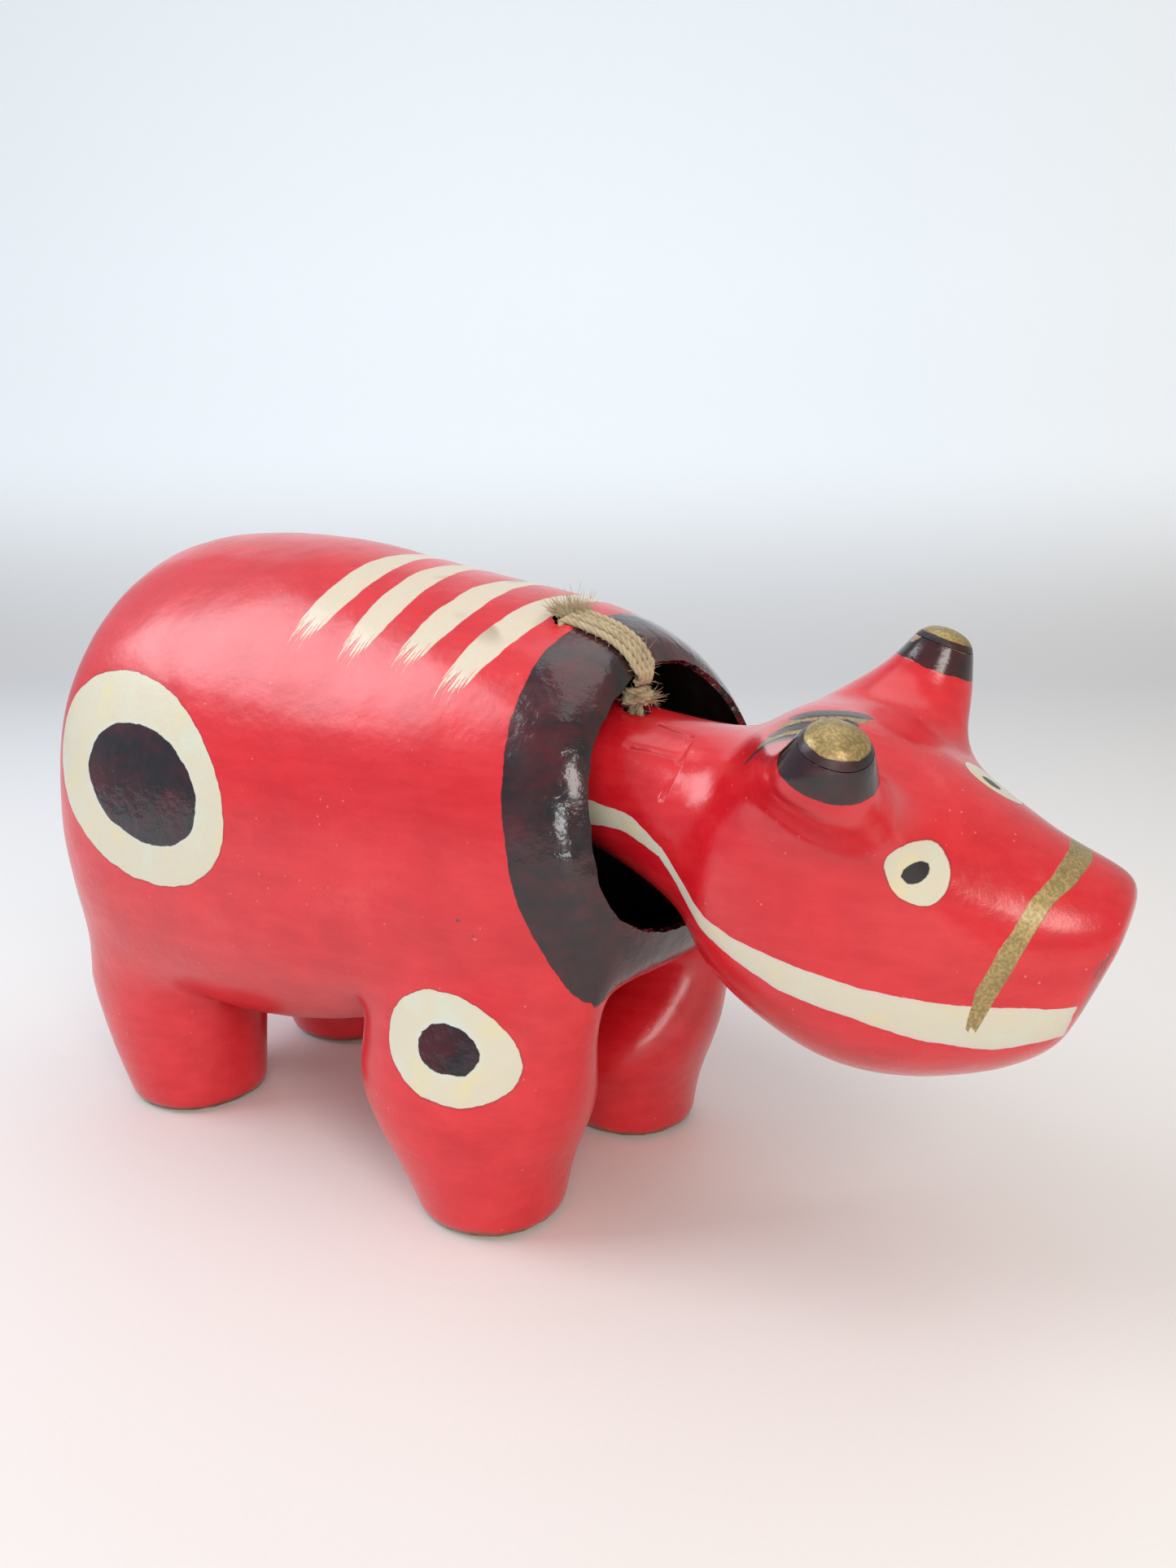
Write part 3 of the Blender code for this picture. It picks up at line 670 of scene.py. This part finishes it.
def head_paint():
    made, t, shader = lacquer("red lacquer with painted face")
    where = object_space(t)
    base, mottle, scuff = red_ground(t, where)
    cream, black = cream_coat(t, where), black_coat(t, where, 0.5)
    gold = gold_coat(t, where)
    lilac = t.mix(t.smooth(t.attribute("mouth"), -1.6, 0.2, 0.0, 0.35), cream, (0.62, 0.52, 0.60))
    mouth, eye, iris = edge(t, where, "mouth", 0.4), edge(t, where, "eye", 0.35), edge(t, where, "iris", 0.25)
    base = t.mix(mouth, base, lilac)
    outline = edge(t, where, "eye", 0.35, 0.2, -0.3)
    base = t.mix(t.times(outline, 0.5), base, (0.22, 0.006, 0.012))
    base = t.mix(eye, base, cream)
    base = t.mix(iris, base, tuple(colours().black))
    # gold band, dry at its ends
    bristles = object_space(t, (900, 260, 120))
    dry = t.noise(bristles, 1.0, 2, 0.6)
    end = t.smooth(t.attribute("band_end"), 0.0, 9.0, 0.34, 0.75)
    solid = t.smooth(t.minus(dry, end), -0.02, 0.05, 1.0, 0.0)
    band = t.times(edge(t, where, "band", 0.4), solid)
    base = t.mix(band, base, gold)
    worn = t.smooth(t.noise(object_space(t, (260, 900, 900)), 1.0, 3, 0.6), 0.60, 0.70, 1.0, 0.0)
    marks_gold = t.times(edge(t, where, "mark_gold", 0.5), worn)
    marks_black = t.times(edge(t, where, "mark_black", 0.5), worn)
    base = t.mix(marks_gold, base, gold)
    base = t.mix(marks_black, base, (0.035, 0.025, 0.024))
    horn_height = t.attribute("horn")
    horn = t.group("hand painted edge", "Mask", Distance=t.minus(4.6, horn_height), Vector=where,
                   Wobble=0.7, Soft=0.12)
    tip = t.group("hand painted edge", "Mask", Distance=t.minus(10.6, horn_height), Vector=where,
                  Wobble=0.35, Soft=0.1)
    base = t.mix(horn, base, black)
    base = t.mix(tip, base, gold)
    # the tear is not cut through: a brown torn rim is painted, and its black middle is painted shade, the dark of the
    # hollow horn's black-washed inside seen through the hole
    rim, torn = edge(t, where, "torn", 1.6, 0.1, -0.8), edge(t, where, "torn", 1.6)
    base = t.mix(rim, base, (0.34, 0.20, 0.11))
    base = t.mix(torn, base, (0.004, 0.003, 0.003))
    nose = t.attribute("nostril")
    streak = t.smooth(t.noise(object_space(t, (300, 1500, 260)), 1.0, 3, 0.6), 0.42, 0.60)
    nostril = t.times(t.smooth(nose, 1.2, 2.4, 0.8, 0.0), streak)
    base = t.mix(nostril, base, (0.07, 0.05, 0.05))
    t.put(shader["Base Color"], base)
    metal = t.larger(t.larger(band, marks_gold), tip)
    t.put(shader["Metallic"], t.times(metal, 0.35))
    rough = t.times_add(mottle, -0.05, t.times_add(scuff, 0.12, 0.27))
    matt = t.larger(t.larger(mouth, eye), metal)
    rough = t.between(matt, rough, 0.42)
    t.put(shader["Roughness"], t.between(t.minus(horn, tip), rough, 0.15))
    paper = t.group("pasted paper", "Height", Vector=where)
    relief = t.times_add(t.larger(matt, horn), 0.22, paper)
    crease = t.smooth(t.attribute("crease"), 0.0, 1.3, -1.6, 0.0)
    bump(t, shader, t.maths("ADD", relief, crease), 0.00028)
    return made


def gold_coat(t, where):
    gold = tuple(colours().gold)
    flecks = t.smooth(t.noise(where, 1500, 2), 0.42, 0.62)
    base = t.mix(flecks, tuple(v * 0.66 for v in gold), gold)
    return t.mix(t.smooth(t.noise(where, 260, 3), 0.55, 0.75, 0.0, 0.5), base, (0.16, 0.10, 0.04))


def gold_paint():
    made, t, shader = new_material("dull gold paint", Coat_Weight=0.15, Coat_Roughness=0.3)
    where = object_space(t)
    top = t.group("hand painted edge", "Mask", Distance=t.times(t.attribute("cap"), -1.0), Vector=where,
                  Wobble=0.5, Soft=0.1)
    t.put(shader["Base Color"], t.mix(top, black_coat(t, where, 0.5), gold_coat(t, where)))
    metal = t.smooth(t.noise(where, 500, 2), 0.4, 0.6, 0.35, 0.6)
    t.put(shader["Metallic"], t.times(metal, top))
    t.put(shader["Roughness"], t.smooth(t.noise(where, 300, 3), 0.3, 0.7, 0.30, 0.5))
    bump(t, shader, t.group("pasted paper", "Height", Vector=where), 0.0003)
    return made


def inside_paint():
    """The inside of the shells: black wash over bare paper."""
    made, t, shader = new_material("black wash on the inside")
    where = object_space(t)
    t.put(shader["Base Color"], t.mix(t.noise(where, 140, 4, 0.6), (0.006, 0.004, 0.004), (0.028, 0.012, 0.012)))
    t.put(shader["Roughness"], t.smooth(t.noise(where, 300, 3), 0.3, 0.7, 0.55, 0.8))
    bump(t, shader, t.group("pasted paper", "Height", Vector=where), 0.0006)
    return made


def chipped_edge():
    """The cut edge of the paper: dark lacquer, chipped to maroon and pale card."""
    made, t, shader = new_material("chipped paper edge", Coat_Weight=0.3, Coat_Roughness=0.2)
    where = object_space(t)
    base = t.mix(t.smooth(t.noise(where, 260, 3), 0.45, 0.6), (0.012, 0.006, 0.009), (0.15, 0.01, 0.02))
    chips = t.smooth(t.noise(where, 620, 3, 0.6), 0.60, 0.66)
    t.put(shader["Base Color"], t.mix(t.times(chips, 0.8), base, (0.58, 0.44, 0.38)))
    t.put(shader["Roughness"], t.smooth(chips, 0.0, 1.0, 0.25, 0.75))
    bump(t, shader, t.noise(where, 700, 3), 0.0004)
    return made


def plain_card(name, dark, light, scale=520, rough=0.8):
    """Bare paper, card, clay or wood: fibrous and uneven."""
    made, t, shader = new_material(name)
    where = object_space(t)
    fibres = t.noise(object_space(t, (scale, scale * 0.25, scale)), 1.0, 4, 0.65)
    base = t.mix(t.smooth(fibres, 0.35, 0.65), dark, light)
    t.put(shader["Base Color"], t.mix(t.smooth(t.noise(where, 70, 3), 0.5, 0.75, 0.0, 0.5), base, dark))
    t.put(shader["Roughness"], t.smooth(fibres, 0.3, 0.7, rough - 0.1, rough + 0.1))
    bump(t, shader, fibres, 0.0003)
    return made


def hemp():
    """Hemp: pale straw fibres that run along the strand, browner in random patches."""
    made, t, shader = new_material("hemp twine", Sheen_Weight=0.25, Sheen_Roughness=0.5)
    c = tuple(colours().twine)
    along = t.add("ShaderNodeUVMap", settings={"uv_map": "strand"})
    fibres = t.noise(t.add("ShaderNodeMapping", Vector=along, Scale=(9, 160, 1)), 1.0, 4, 0.65)
    base = t.mix(t.smooth(fibres, 0.34, 0.66), tuple(v * 0.60 for v in c), tuple(min(1, v * 1.25) for v in c))
    base = t.mix(t.smooth(t.noise(object_space(t), 260, 3), 0.5, 0.72, 0.0, 0.4), base, (0.34, 0.24, 0.13))
    t.put(shader["Base Color"], base)
    t.put(shader["Roughness"], t.smooth(fibres, 0.3, 0.7, 0.7, 0.9))
    bump(t, shader, fibres, 0.00012)
    return made


# ---- twine ----
def smooth_path(corners, step):
    """Points at about this step on a smooth curve through the corners."""
    corners = [2 * corners[0] - corners[1], *corners, 2 * corners[-1] - corners[-2]]
    found = []
    for a, b, c, d in zip(corners, corners[1:], corners[2:], corners[3:]):
        pieces = max(1, round((c - b).length / step))
        for k in range(pieces):
            t = k / pieces
            found.append(0.5 * (2 * b + (c - a) * t + (2 * a - 5 * b + 4 * c - d) * t ** 2
                                + (3 * b - a - 3 * c + d) * t ** 3))
    return found + [corners[-2]]


def carried_frames(path):
    """At each point the way along, and two ways across that don't twist."""
    ways = [(path[min(k + 1, len(path) - 1)] - path[max(k - 1, 0)]).normalized() for k in range(len(path))]
    side = ways[0].orthogonal().normalized()
    found = []
    for way in ways:
        side = (side - way * side.dot(way)).normalized()
        found.append((way, side, way.cross(side)))
    return found


class StrandMesh:
    """Gathers tubes, with a UV map that runs along each of them."""

    def __init__(self):
        self.verts, self.faces, self.uvs = [], [], []

    def tube(self, path, radii, sides):
        frames, first, length = carried_frames(path), len(self.verts), 0.0
        spans = [0.0] + [(b - a).length for a, b in zip(path, path[1:])]
        runs = list(np.cumsum(spans) * 100)
        for place, (_, a, b), radius in zip(path, frames, radii):
            self.verts += [place + (a * cos(tau * k / sides) + b * sin(tau * k / sides)) * radius
                           for k in range(sides)]
        for n in range(len(path) - 1):
            for k in range(sides):
                m, low, high = (k + 1) % sides, first + n * sides, first + (n + 1) * sides
                self.faces.append((low + k, low + m, high + m, high + k))
                self.uvs.append(((runs[n], k / sides), (runs[n], (k + 1) / sides), (runs[n + 1], (k + 1) / sides),
                                 (runs[n + 1], k / sides)))
        for ring, order in ((first, -1), (first + (len(path) - 1) * sides, 1)):
            self.faces.append(tuple(range(ring, ring + sides))[::order])
            self.uvs.append(((0.0, 0.5),) * sides)

    def finish(self, name):
        obj = mesh_object(name, self.verts, self.faces)
        layer = obj.data.uv_layers.new(name="strand")
        flat = [number for face in self.uvs for uv in face for number in uv]
        layer.data.foreach_set("uv", np.array(flat, np.float32))
        return obj


def twist(mesh, corners, radius, rng, plies=3, lay=0.0062, fuzz=0):
    """Twine laid from plies along a path, with loose fibres standing off it."""
    path = smooth_path(corners, 0.00045)
    frames = carried_frames(path)
    run = 0.0
    angles = []
    for a, b in zip(path, path[1:] + path[-1:]):
        angles.append(tau * run / lay)
        run += (b - a).length
    strands = []
    for ply in range(plies):
        strand = [p + (a * cos(t + tau * ply / plies) + b * sin(t + tau * ply / plies)) * radius * 0.50
                  for p, (_, a, b), t in zip(path, frames, angles)]
        thick = [radius * 0.53 * (1 + 0.10 * sin(7.1 * t + ply * 2)) for t in angles]
        mesh.tube(strand, thick, 8)
        strands.append(strand)
    for _ in range(int(fuzz * run * 100)):
        strand = strands[rng.integers(plies)]
        k = int(rng.integers(2, len(strand) - 3))
        way, a, b = frames[k]
        out = (strand[k] - path[k]).normalized()
        start = strand[k] + out * radius * 0.48
        lean = way * float(rng.normal(0, 0.9)) + out * float(rng.uniform(0.25, 0.9)) + a * float(rng.normal(0, 0.4)) \
            + b * float(rng.normal(0, 0.4))
        size = float(rng.uniform(0.0007, 0.0022))
        bend = Vector(rng.normal(0, 0.35, 3))
        hair = [start + lean.normalized() * size * s + bend * size * s * s for s in (0, 0.33, 0.66, 1.0)]
        mesh.tube(hair, [0.000055, 0.00005, 0.00004, 0.00002], 3)


def tuft(mesh, root, way, spread, count, length, rng):
    """Fibres that fan out of the cut end of a strand."""
    for _ in range(count):
        lean = (way + Vector(rng.normal(0, spread, 3))).normalized()
        start = root + Vector(rng.normal(0, 0.0005, 3))
        size = length * float(rng.uniform(0.55, 1.1))
        bend = Vector(rng.normal(0, 0.22, 3))
        hair = [start + lean * size * s + bend * size * s * s for s in (0, 0.25, 0.5, 0.75, 1.0)]
        mesh.tube(hair, [0.00010, 0.00009, 0.00008, 0.00006, 0.00003], 3)


# ---- operators, one for each piece or group of like pieces ----
class COW_OT_finishes(bpy.types.Operator):
    """Make the shared effects and the finishes"""

    bl_idname, bl_label = "cow.finishes", "Finishes"

    def execute(self, context):
        build_groups()
        for make in (body_paint, head_paint, gold_paint, inside_paint, chipped_edge, hemp):
            make()
        plain_card("sole card", (0.20, 0.11, 0.06), (0.38, 0.25, 0.15))
        plain_card("seam paper", (0.42, 0.34, 0.22), (0.62, 0.54, 0.40))
        plain_card("dried clay", (0.20, 0.14, 0.10), (0.34, 0.26, 0.19), 240, 0.88)
        plain_card("bamboo", (0.40, 0.27, 0.12), (0.62, 0.46, 0.24), 160, 0.5)
        return {"FINISHED"}


SKINS = {}


class COW_OT_body(bpy.types.Operator):
    """Model the hollow body with its collar, and place its paint"""

    bl_idname, bl_label = "cow.body", "Body"

    def execute(self, context):
        s = sizes()
        limbs = {(cell, 5): leg_loops(loops) for cell, loops in LEGS.values()}
        body = cage("body_skin", BODY_RINGS, BODY_ROUND, 0, BODY_BULGE, limbs)
        apply_modifier(body, "SUBSURF", levels=s.smooth, render_levels=s.smooth)
        lumpy(body, s.lumps)
        cut_flat(body, (0, 0, SOLE_TOP), (0, 0, -1))
        ragged_rim(body, 0.085, 0.0010)
        SKINS["body"] = BVHTree.FromObject(body, context.evaluated_depsgraph_get())
        open_hole(body, STRING_HOLE, s.string_hole, 0.25, 0.13)
        paint_body(body)
        body.data.transform(TO_FRAME)
        dress(body, *SKIN_FINISHES["body"])
        apply_modifier(body, "SOLIDIFY", thickness=s.wall, offset=-1, use_rim=True, material_offset=1,
                       material_offset_rim=2)
        shade(body)
        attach(body, "body")
        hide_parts("body_shell_left", "body_shell_right")
        return {"FINISHED"}


class COW_OT_head(bpy.types.Operator):
    """Model the hollow head and neck with the horns and their gilded caps, and place the paint"""

    bl_idname, bl_label = "cow.head", "Head"

    def execute(self, context):
        s = sizes()
        skin = cage("head_skin", HEAD_RINGS, HEAD_ROUND, -1, HEAD_BULGE, {(4, 1): horn_loops()})
        apply_modifier(skin, "SUBSURF", levels=s.smooth, render_levels=s.smooth)
        lumpy(skin, s.lumps * 0.6)
        open_hole(skin, NECK_HOLE, s.neck_hole, 0.3, -0.02)
        paint_head(skin)
        caps = []
        for word, side in (("left", 1), ("right", -1)):
            axis = Vector((HORN_AXIS.x, HORN_AXIS.y * side, HORN_AXIS.z))
            tip = max((v.co for v in skin.data.vertices if v.co.y * side > 0.03), key=lambda place: place.dot(axis))
            base = tip - axis * CAP_HEIGHT
            cap = skin.copy()
            cap.data = skin.data.copy()
            cap.name = "horn_tip_" + word
            context.scene.collection.objects.link(cap)
            cut_flat(cap, base + axis * 0.00012, -axis)
            store(cap, "cap", (places(cap) - np.array(base)) @ np.array(axis) * 1000 - 1.7)
            self.keep_side(cap, side, True, base, axis)
            caps.append((cap, word))
            self.split_off(skin, side, base, axis)
        for obj, names in ((skin, SKIN_FINISHES["head"]),
                           *((cap, SKIN_FINISHES["cap"]) for cap, _ in caps)):
            obj.data.transform(HEAD_TO_FRAME)
            dress(obj, *names)
            apply_modifier(obj, "SOLIDIFY", thickness=s.wall * (1 if obj is skin else 0.8), offset=-1, use_rim=True,
                           material_offset=1, material_offset_rim=2)
            shade(obj)
            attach(obj, "head")
        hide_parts("head_shell_left", "head_shell_right")
        for cap, word in caps:
            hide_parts("horn_cap_" + word)
        return {"FINISHED"}

    def keep_side(self, obj, side, beyond, base, axis):
        """Only what is near the horn on this side stays."""
        mesh = bmesh.new()
        mesh.from_mesh(obj.data)
        far = [f for f in mesh.faces if f.calc_center_median().y * side < 0.03
               or (f.calc_center_median() - base).dot(axis) < 0]
        bmesh.ops.delete(mesh, geom=far, context="FACES")
        mesh.to_mesh(obj.data)
        mesh.free()

    def split_off(self, obj, side, base, axis):
        """The horn is cut square below its cap."""
        mesh = bmesh.new()
        mesh.from_mesh(obj.data)
        near = [f for f in mesh.faces if (f.calc_center_median() - base).length < 0.012
                and f.calc_center_median().y * side > 0.028]
        geom = list({v for f in near for v in f.verts} | {e for f in near for e in f.edges} | set(near))
        bmesh.ops.bisect_plane(mesh, geom=geom, dist=1e-7, plane_co=base, plane_no=axis, clear_outer=True)
        mesh.to_mesh(obj.data)
        mesh.free()


class COW_OT_string(bpy.types.Operator):
    """Lay the hemp twine: turns over the collar, the knot under the lip and the doubled drop to the neck"""

    bl_idname, bl_label = "cow.string", "String"

    def execute(self, context):
        s = sizes()
        radius, rng, skin = s.twine / 2, np.random.default_rng(5), SKINS["body"]
        eye, wrap = Vector((0.0640, -0.0146, 0.1180)), StrandMesh()

        def sight(aside, angle):
            ray = Vector((cos(radians(angle)), 0.125 * cos(radians(angle)), sin(radians(angle))))
            return skin.ray_cast(eye + Vector((0, aside, 0)), ray)[:2]

        for turn in range(s.turns):
            aside = (turn - (s.turns - 1) / 2) * (s.twine + 0.0001)
            angle = 74.0
            run = []
            while (hit := sight(aside, angle))[0] is not None:
                bow = 0.0004 * sin(pi * len(run) / 12) * (turn % 2)
                run.append(hit[0] + hit[1] * (radius + 0.0001 + bow))
                angle -= 3.0
            edge = run[-1]
            gather = (KNOT - TO_FRAME.translation - edge) * Vector((0, 0.35, 0))
            path = [run[0] + Vector((-0.0016, -0.0003, -0.0034)), run[0] + Vector((-0.0012, -0.0002, -0.0008)), *run,
                    edge + Vector((0.0009, 0, -0.0014)) + gather * 0.4, edge + Vector((0.0002, 0, -0.0030)) + gather,
                    edge + Vector((-0.0015, 0, -0.0036)) + gather]
            twist(wrap, [TO_FRAME @ p for p in path], radius, rng, fuzz=s.fuzz)
        root = TO_FRAME @ (sight(0, 76)[0] + Vector((-0.0008, 0, 0.0006)))
        for k in range(6):
            way = Vector((-0.55 + 0.10 * k, -0.55 + 0.22 * k, 0.62))
            tuft(wrap, root + Vector((0.0006 * k, 0.0009 * (k - 2.5), 0)), way, 0.16, 46, 0.0052, rng)
        made = wrap.finish("twine_over_collar")

        knot = StrandMesh()
        wide = 0.0026
        coil = [KNOT + Vector((wide * cos(a), wide * sin(a), 0.0015 * (a / tau - 0.9)))
                for a in np.arange(0, 12.6, 0.52)]
        twist(knot, coil, radius, rng, fuzz=s.fuzz)
        cross = [KNOT + Vector(p) for p in ((-0.0012, 0.0030, 0.0022), (0.0018, 0.0030, 0.0008), (0.0034, 0.0, -0.0002),
                                            (0.0018, -0.0030, -0.0008), (-0.0014, -0.0030, -0.0012))]
        twist(knot, cross, radius, rng, fuzz=s.fuzz)
        tuft(knot, KNOT + Vector((-0.0012, 0.0032, 0.0024)), Vector((-0.3, 0.8, 0.4)), 0.3, 40, 0.0030, rng)
        knot_made = knot.finish("twine_knot")

        drop = StrandMesh()
        across = ((HEAD_TO_FRAME.to_3x3() @ Vector((1, 0, 0))) * Vector((1, 1, 0))).normalized()
        wide = 0.0024
        ends = [KNOT + Vector((0, 0, 0.0016)), TOGGLE + Vector((0, 0, 0.0042))]
        path = [p + across * 0.00105 for p in ends]
        path += [TOGGLE + across * wide * cos(pi * k / 8) - Vector((0, 0, wide * sin(pi * k / 8)))
                 for k in range(9)]
        path += [p - across * 0.00105 for p in reversed(ends)]
        twist(drop, path, radius, rng, fuzz=s.fuzz)
        collar = [TOGGLE + Vector((0.0027 * cos(a), 0.0027 * sin(a), 0.0072 + 0.0010 * a / tau))
                  for a in np.arange(0, 6.6, 0.52)]
        twist(drop, collar, radius * 0.8, rng, fuzz=s.fuzz)
        for way in ((0.9, 0.3, 0.1), (0.6, -0.8, 0.2)):
            root = TOGGLE + Vector((0.0026 * way[0], 0.0026 * way[1], 0.0080))
            tuft(drop, root, Vector(way), 0.28, 50, 0.0042, rng)
        drop_made = drop.finish("twine_drop")
        for obj, body, node in ((made, "body", "string_wrap"), (knot_made, "body", "string_knot"),
                                (drop_made, "string", "string_drop")):
            dress(obj, "hemp twine")
            shade(obj, 60)
            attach(obj, body)
            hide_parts(node)
        return {"FINISHED"}


class COW_OT_small_pieces(bpy.types.Operator):
    """Give the soles, seam strips, clay, disc and stick their finishes"""

    bl_idname, bl_label = "cow.small_pieces", "Small pieces"

    def execute(self, context):
        finish = {"sole": "sole card", "neck_end": "sole card", "body_seam": "seam paper", "head_seam": "seam paper",
                  "neck_weight": "dried clay", "toggle": "bamboo"}
        for name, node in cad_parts.items():
            for start, wanted in finish.items():
                if name.startswith(start):
                    dress(node, wanted)
        return {"FINISHED"}


class COW_OT_stage(bpy.types.Operator):
    """Set up the pale sweep, the soft lights and the camera"""

    bl_idname, bl_label = "cow.stage", "Stage"

    def execute(self, context):
        scene = context.scene
        sweep = self.sweep()
        self.world(scene)
        # place, aim, size, power, colour
        lights = ((((-0.75, -0.55, 0.95), (0, 0, 0.08), 0.70, 7.5, (0.90, 0.95, 1.0)),
                   ((0.95, -0.75, 0.80), (0.05, 0, 0.08), 0.55, 7.0, (1.0, 0.95, 0.88)),
                   ((0.10, 0.15, 1.20), (0.0, 0, 0.05), 0.90, 3.0, (1.0, 0.99, 0.97)),
                   ((0.55, -1.10, 0.25), (0.04, 0, 0.10), 0.30, 2.2, (1.0, 1.0, 1.0))))
        for n, (place, aim, size, power, colour) in enumerate(lights):
            data = bpy.data.lights.new(f"soft_light_{n}", "AREA")
            data.shape, data.size, data.energy, data.color = "SQUARE", size, power, colour
            lamp = bpy.data.objects.new(data.name, data)
            lamp.location = place
            lamp.rotation_mode = "QUATERNION"
            lamp.rotation_quaternion = (Vector(aim) - Vector(place)).to_track_quat("-Z", "Y")
            scene.collection.objects.link(lamp)
        data = bpy.data.cameras.new("camera")
        data.sensor_width, data.lens, data.clip_start = 36, CAMERA_LENS, 0.01
        camera = bpy.data.objects.new("camera", data)
        level = cos(CAMERA_FALL)
        back = Vector((sin(CAMERA_TURN) * level, -cos(CAMERA_TURN) * level, sin(CAMERA_FALL)))
        camera.rotation_mode = "QUATERNION"
        camera.rotation_quaternion = (-back).to_track_quat("-Z", "Y")
        camera.location = TO_FRAME @ Vector(CAMERA_PLACE)
        scene.collection.objects.link(camera)
        scene.camera = camera
        scene.view_settings.view_transform = "Standard"
        return {"FINISHED"}

    def sweep(self):
        """A floor that curves up into a wall behind, turned to face the camera."""
        bpy.ops.object.select_all(action="DESELECT")
        bpy.ops.mesh.primitive_plane_add(size=2.4, location=(0, 0, 0))
        obj = bpy.context.object
        obj.name = "paper_sweep"
        bpy.ops.object.mode_set(mode="EDIT")
        mesh = bmesh.from_edit_mesh(obj.data)
        back = [e for e in mesh.edges if all(v.co.y > 1.0 for v in e.verts)]
        bpy.ops.mesh.select_all(action="DESELECT")
        for found in back:
            found.select_set(True)
        mesh.select_flush(True)
        bmesh.update_edit_mesh(obj.data)
        bpy.ops.mesh.spin(steps=24, angle=radians(-90), center=(0, 1.2, 0.6), axis=(1, 0, 0))
        bpy.ops.mesh.extrude_region_move(TRANSFORM_OT_translate={"value": (0, 0, 1.6)})
        bpy.ops.object.mode_set(mode="OBJECT")
        obj.data.transform(Matrix.Rotation(CAMERA_TURN, 4, "Z"))
        made, t, shader = new_material("pale paper sweep", Emission_Strength=0.40)
        where = object_space(t)
        split = t.add("ShaderNodeSeparateXYZ", Vector=where)
        up = t.add("ShaderNodeSeparateXYZ", out=2, Vector=where)
        # painted light: the paper runs from cool towards -X to warm towards +X, the tints of the lamps on those sides
        side = t.smooth(split, -0.7, 0.9)
        base = t.mix(side, (0.80, 0.80, 0.82), (0.86, 0.80, 0.73))
        wall = t.mix(side, (0.72, 0.88, 1.0), (1.0, 0.97, 0.92))
        # painted light: the wall glows, from nothing at the floor to full about a third of a metre up, in the same
        # cool-to-warm tint
        t.put(shader["Emission Color"], t.mix(t.smooth(up, -0.02, 0.34), (0.0, 0.0, 0.0), wall))
        grain = t.noise(where, 900, 2)
        t.put(shader["Base Color"], t.mix(t.smooth(grain, 0.4, 0.6, 0.0, 0.04), base, (0.7, 0.68, 0.66)))
        t.put(shader["Roughness"], t.smooth(grain, 0.3, 0.7, 0.6, 0.7))
        dress(obj, made.name)
        shade(obj, 80)
        return obj

    def world(self, scene):
        world = bpy.data.worlds.new("soft daylight")
        world.use_nodes = True
        scene.world = world
        t = Tree(world.node_tree)
        ground = world.node_tree.nodes["Background"].inputs
        up = t.add("ShaderNodeSeparateXYZ", out=0, Vector=t.add("ShaderNodeTexCoord", out=0))
        t.put(ground["Color"], t.mix(t.smooth(up, -0.8, 0.8), (0.80, 0.88, 1.0), (1.0, 0.94, 0.86)))
        ground["Strength"].default_value = 0.5


class COW_PT_panel(bpy.types.Panel):
    """Sizes, colours and the steps of the build"""

    bl_idname, bl_label = "COW_PT_panel", "Nodding Cow"
    bl_space_type, bl_region_type, bl_category = "VIEW_3D", "UI", "Nodding Cow"

    def draw(self, context):
        column = self.layout.column()
        for group in (context.scene.cow_sizes, context.scene.cow_colours):
            for name in group.__annotations__:
                column.prop(group, name)
        for step in STEPS:
            column.operator(step.bl_idname)


STEPS = (COW_OT_finishes, COW_OT_body, COW_OT_head, COW_OT_string, COW_OT_small_pieces, COW_OT_stage)
CLASSES = (CowSizes, CowColours, *STEPS, COW_PT_panel)


def register():
    for made in CLASSES:
        bpy.utils.register_class(made)
    bpy.types.Scene.cow_sizes = bpy.props.PointerProperty(type=CowSizes)
    bpy.types.Scene.cow_colours = bpy.props.PointerProperty(type=CowColours)


def unregister():
    del bpy.types.Scene.cow_sizes, bpy.types.Scene.cow_colours
    for made in reversed(CLASSES):
        bpy.utils.unregister_class(made)


def main():
    register()
    for step in STEPS:
        group, name = step.bl_idname.split(".")
        getattr(getattr(bpy.ops, group), name)()


if __name__ == "__main__":
    main()
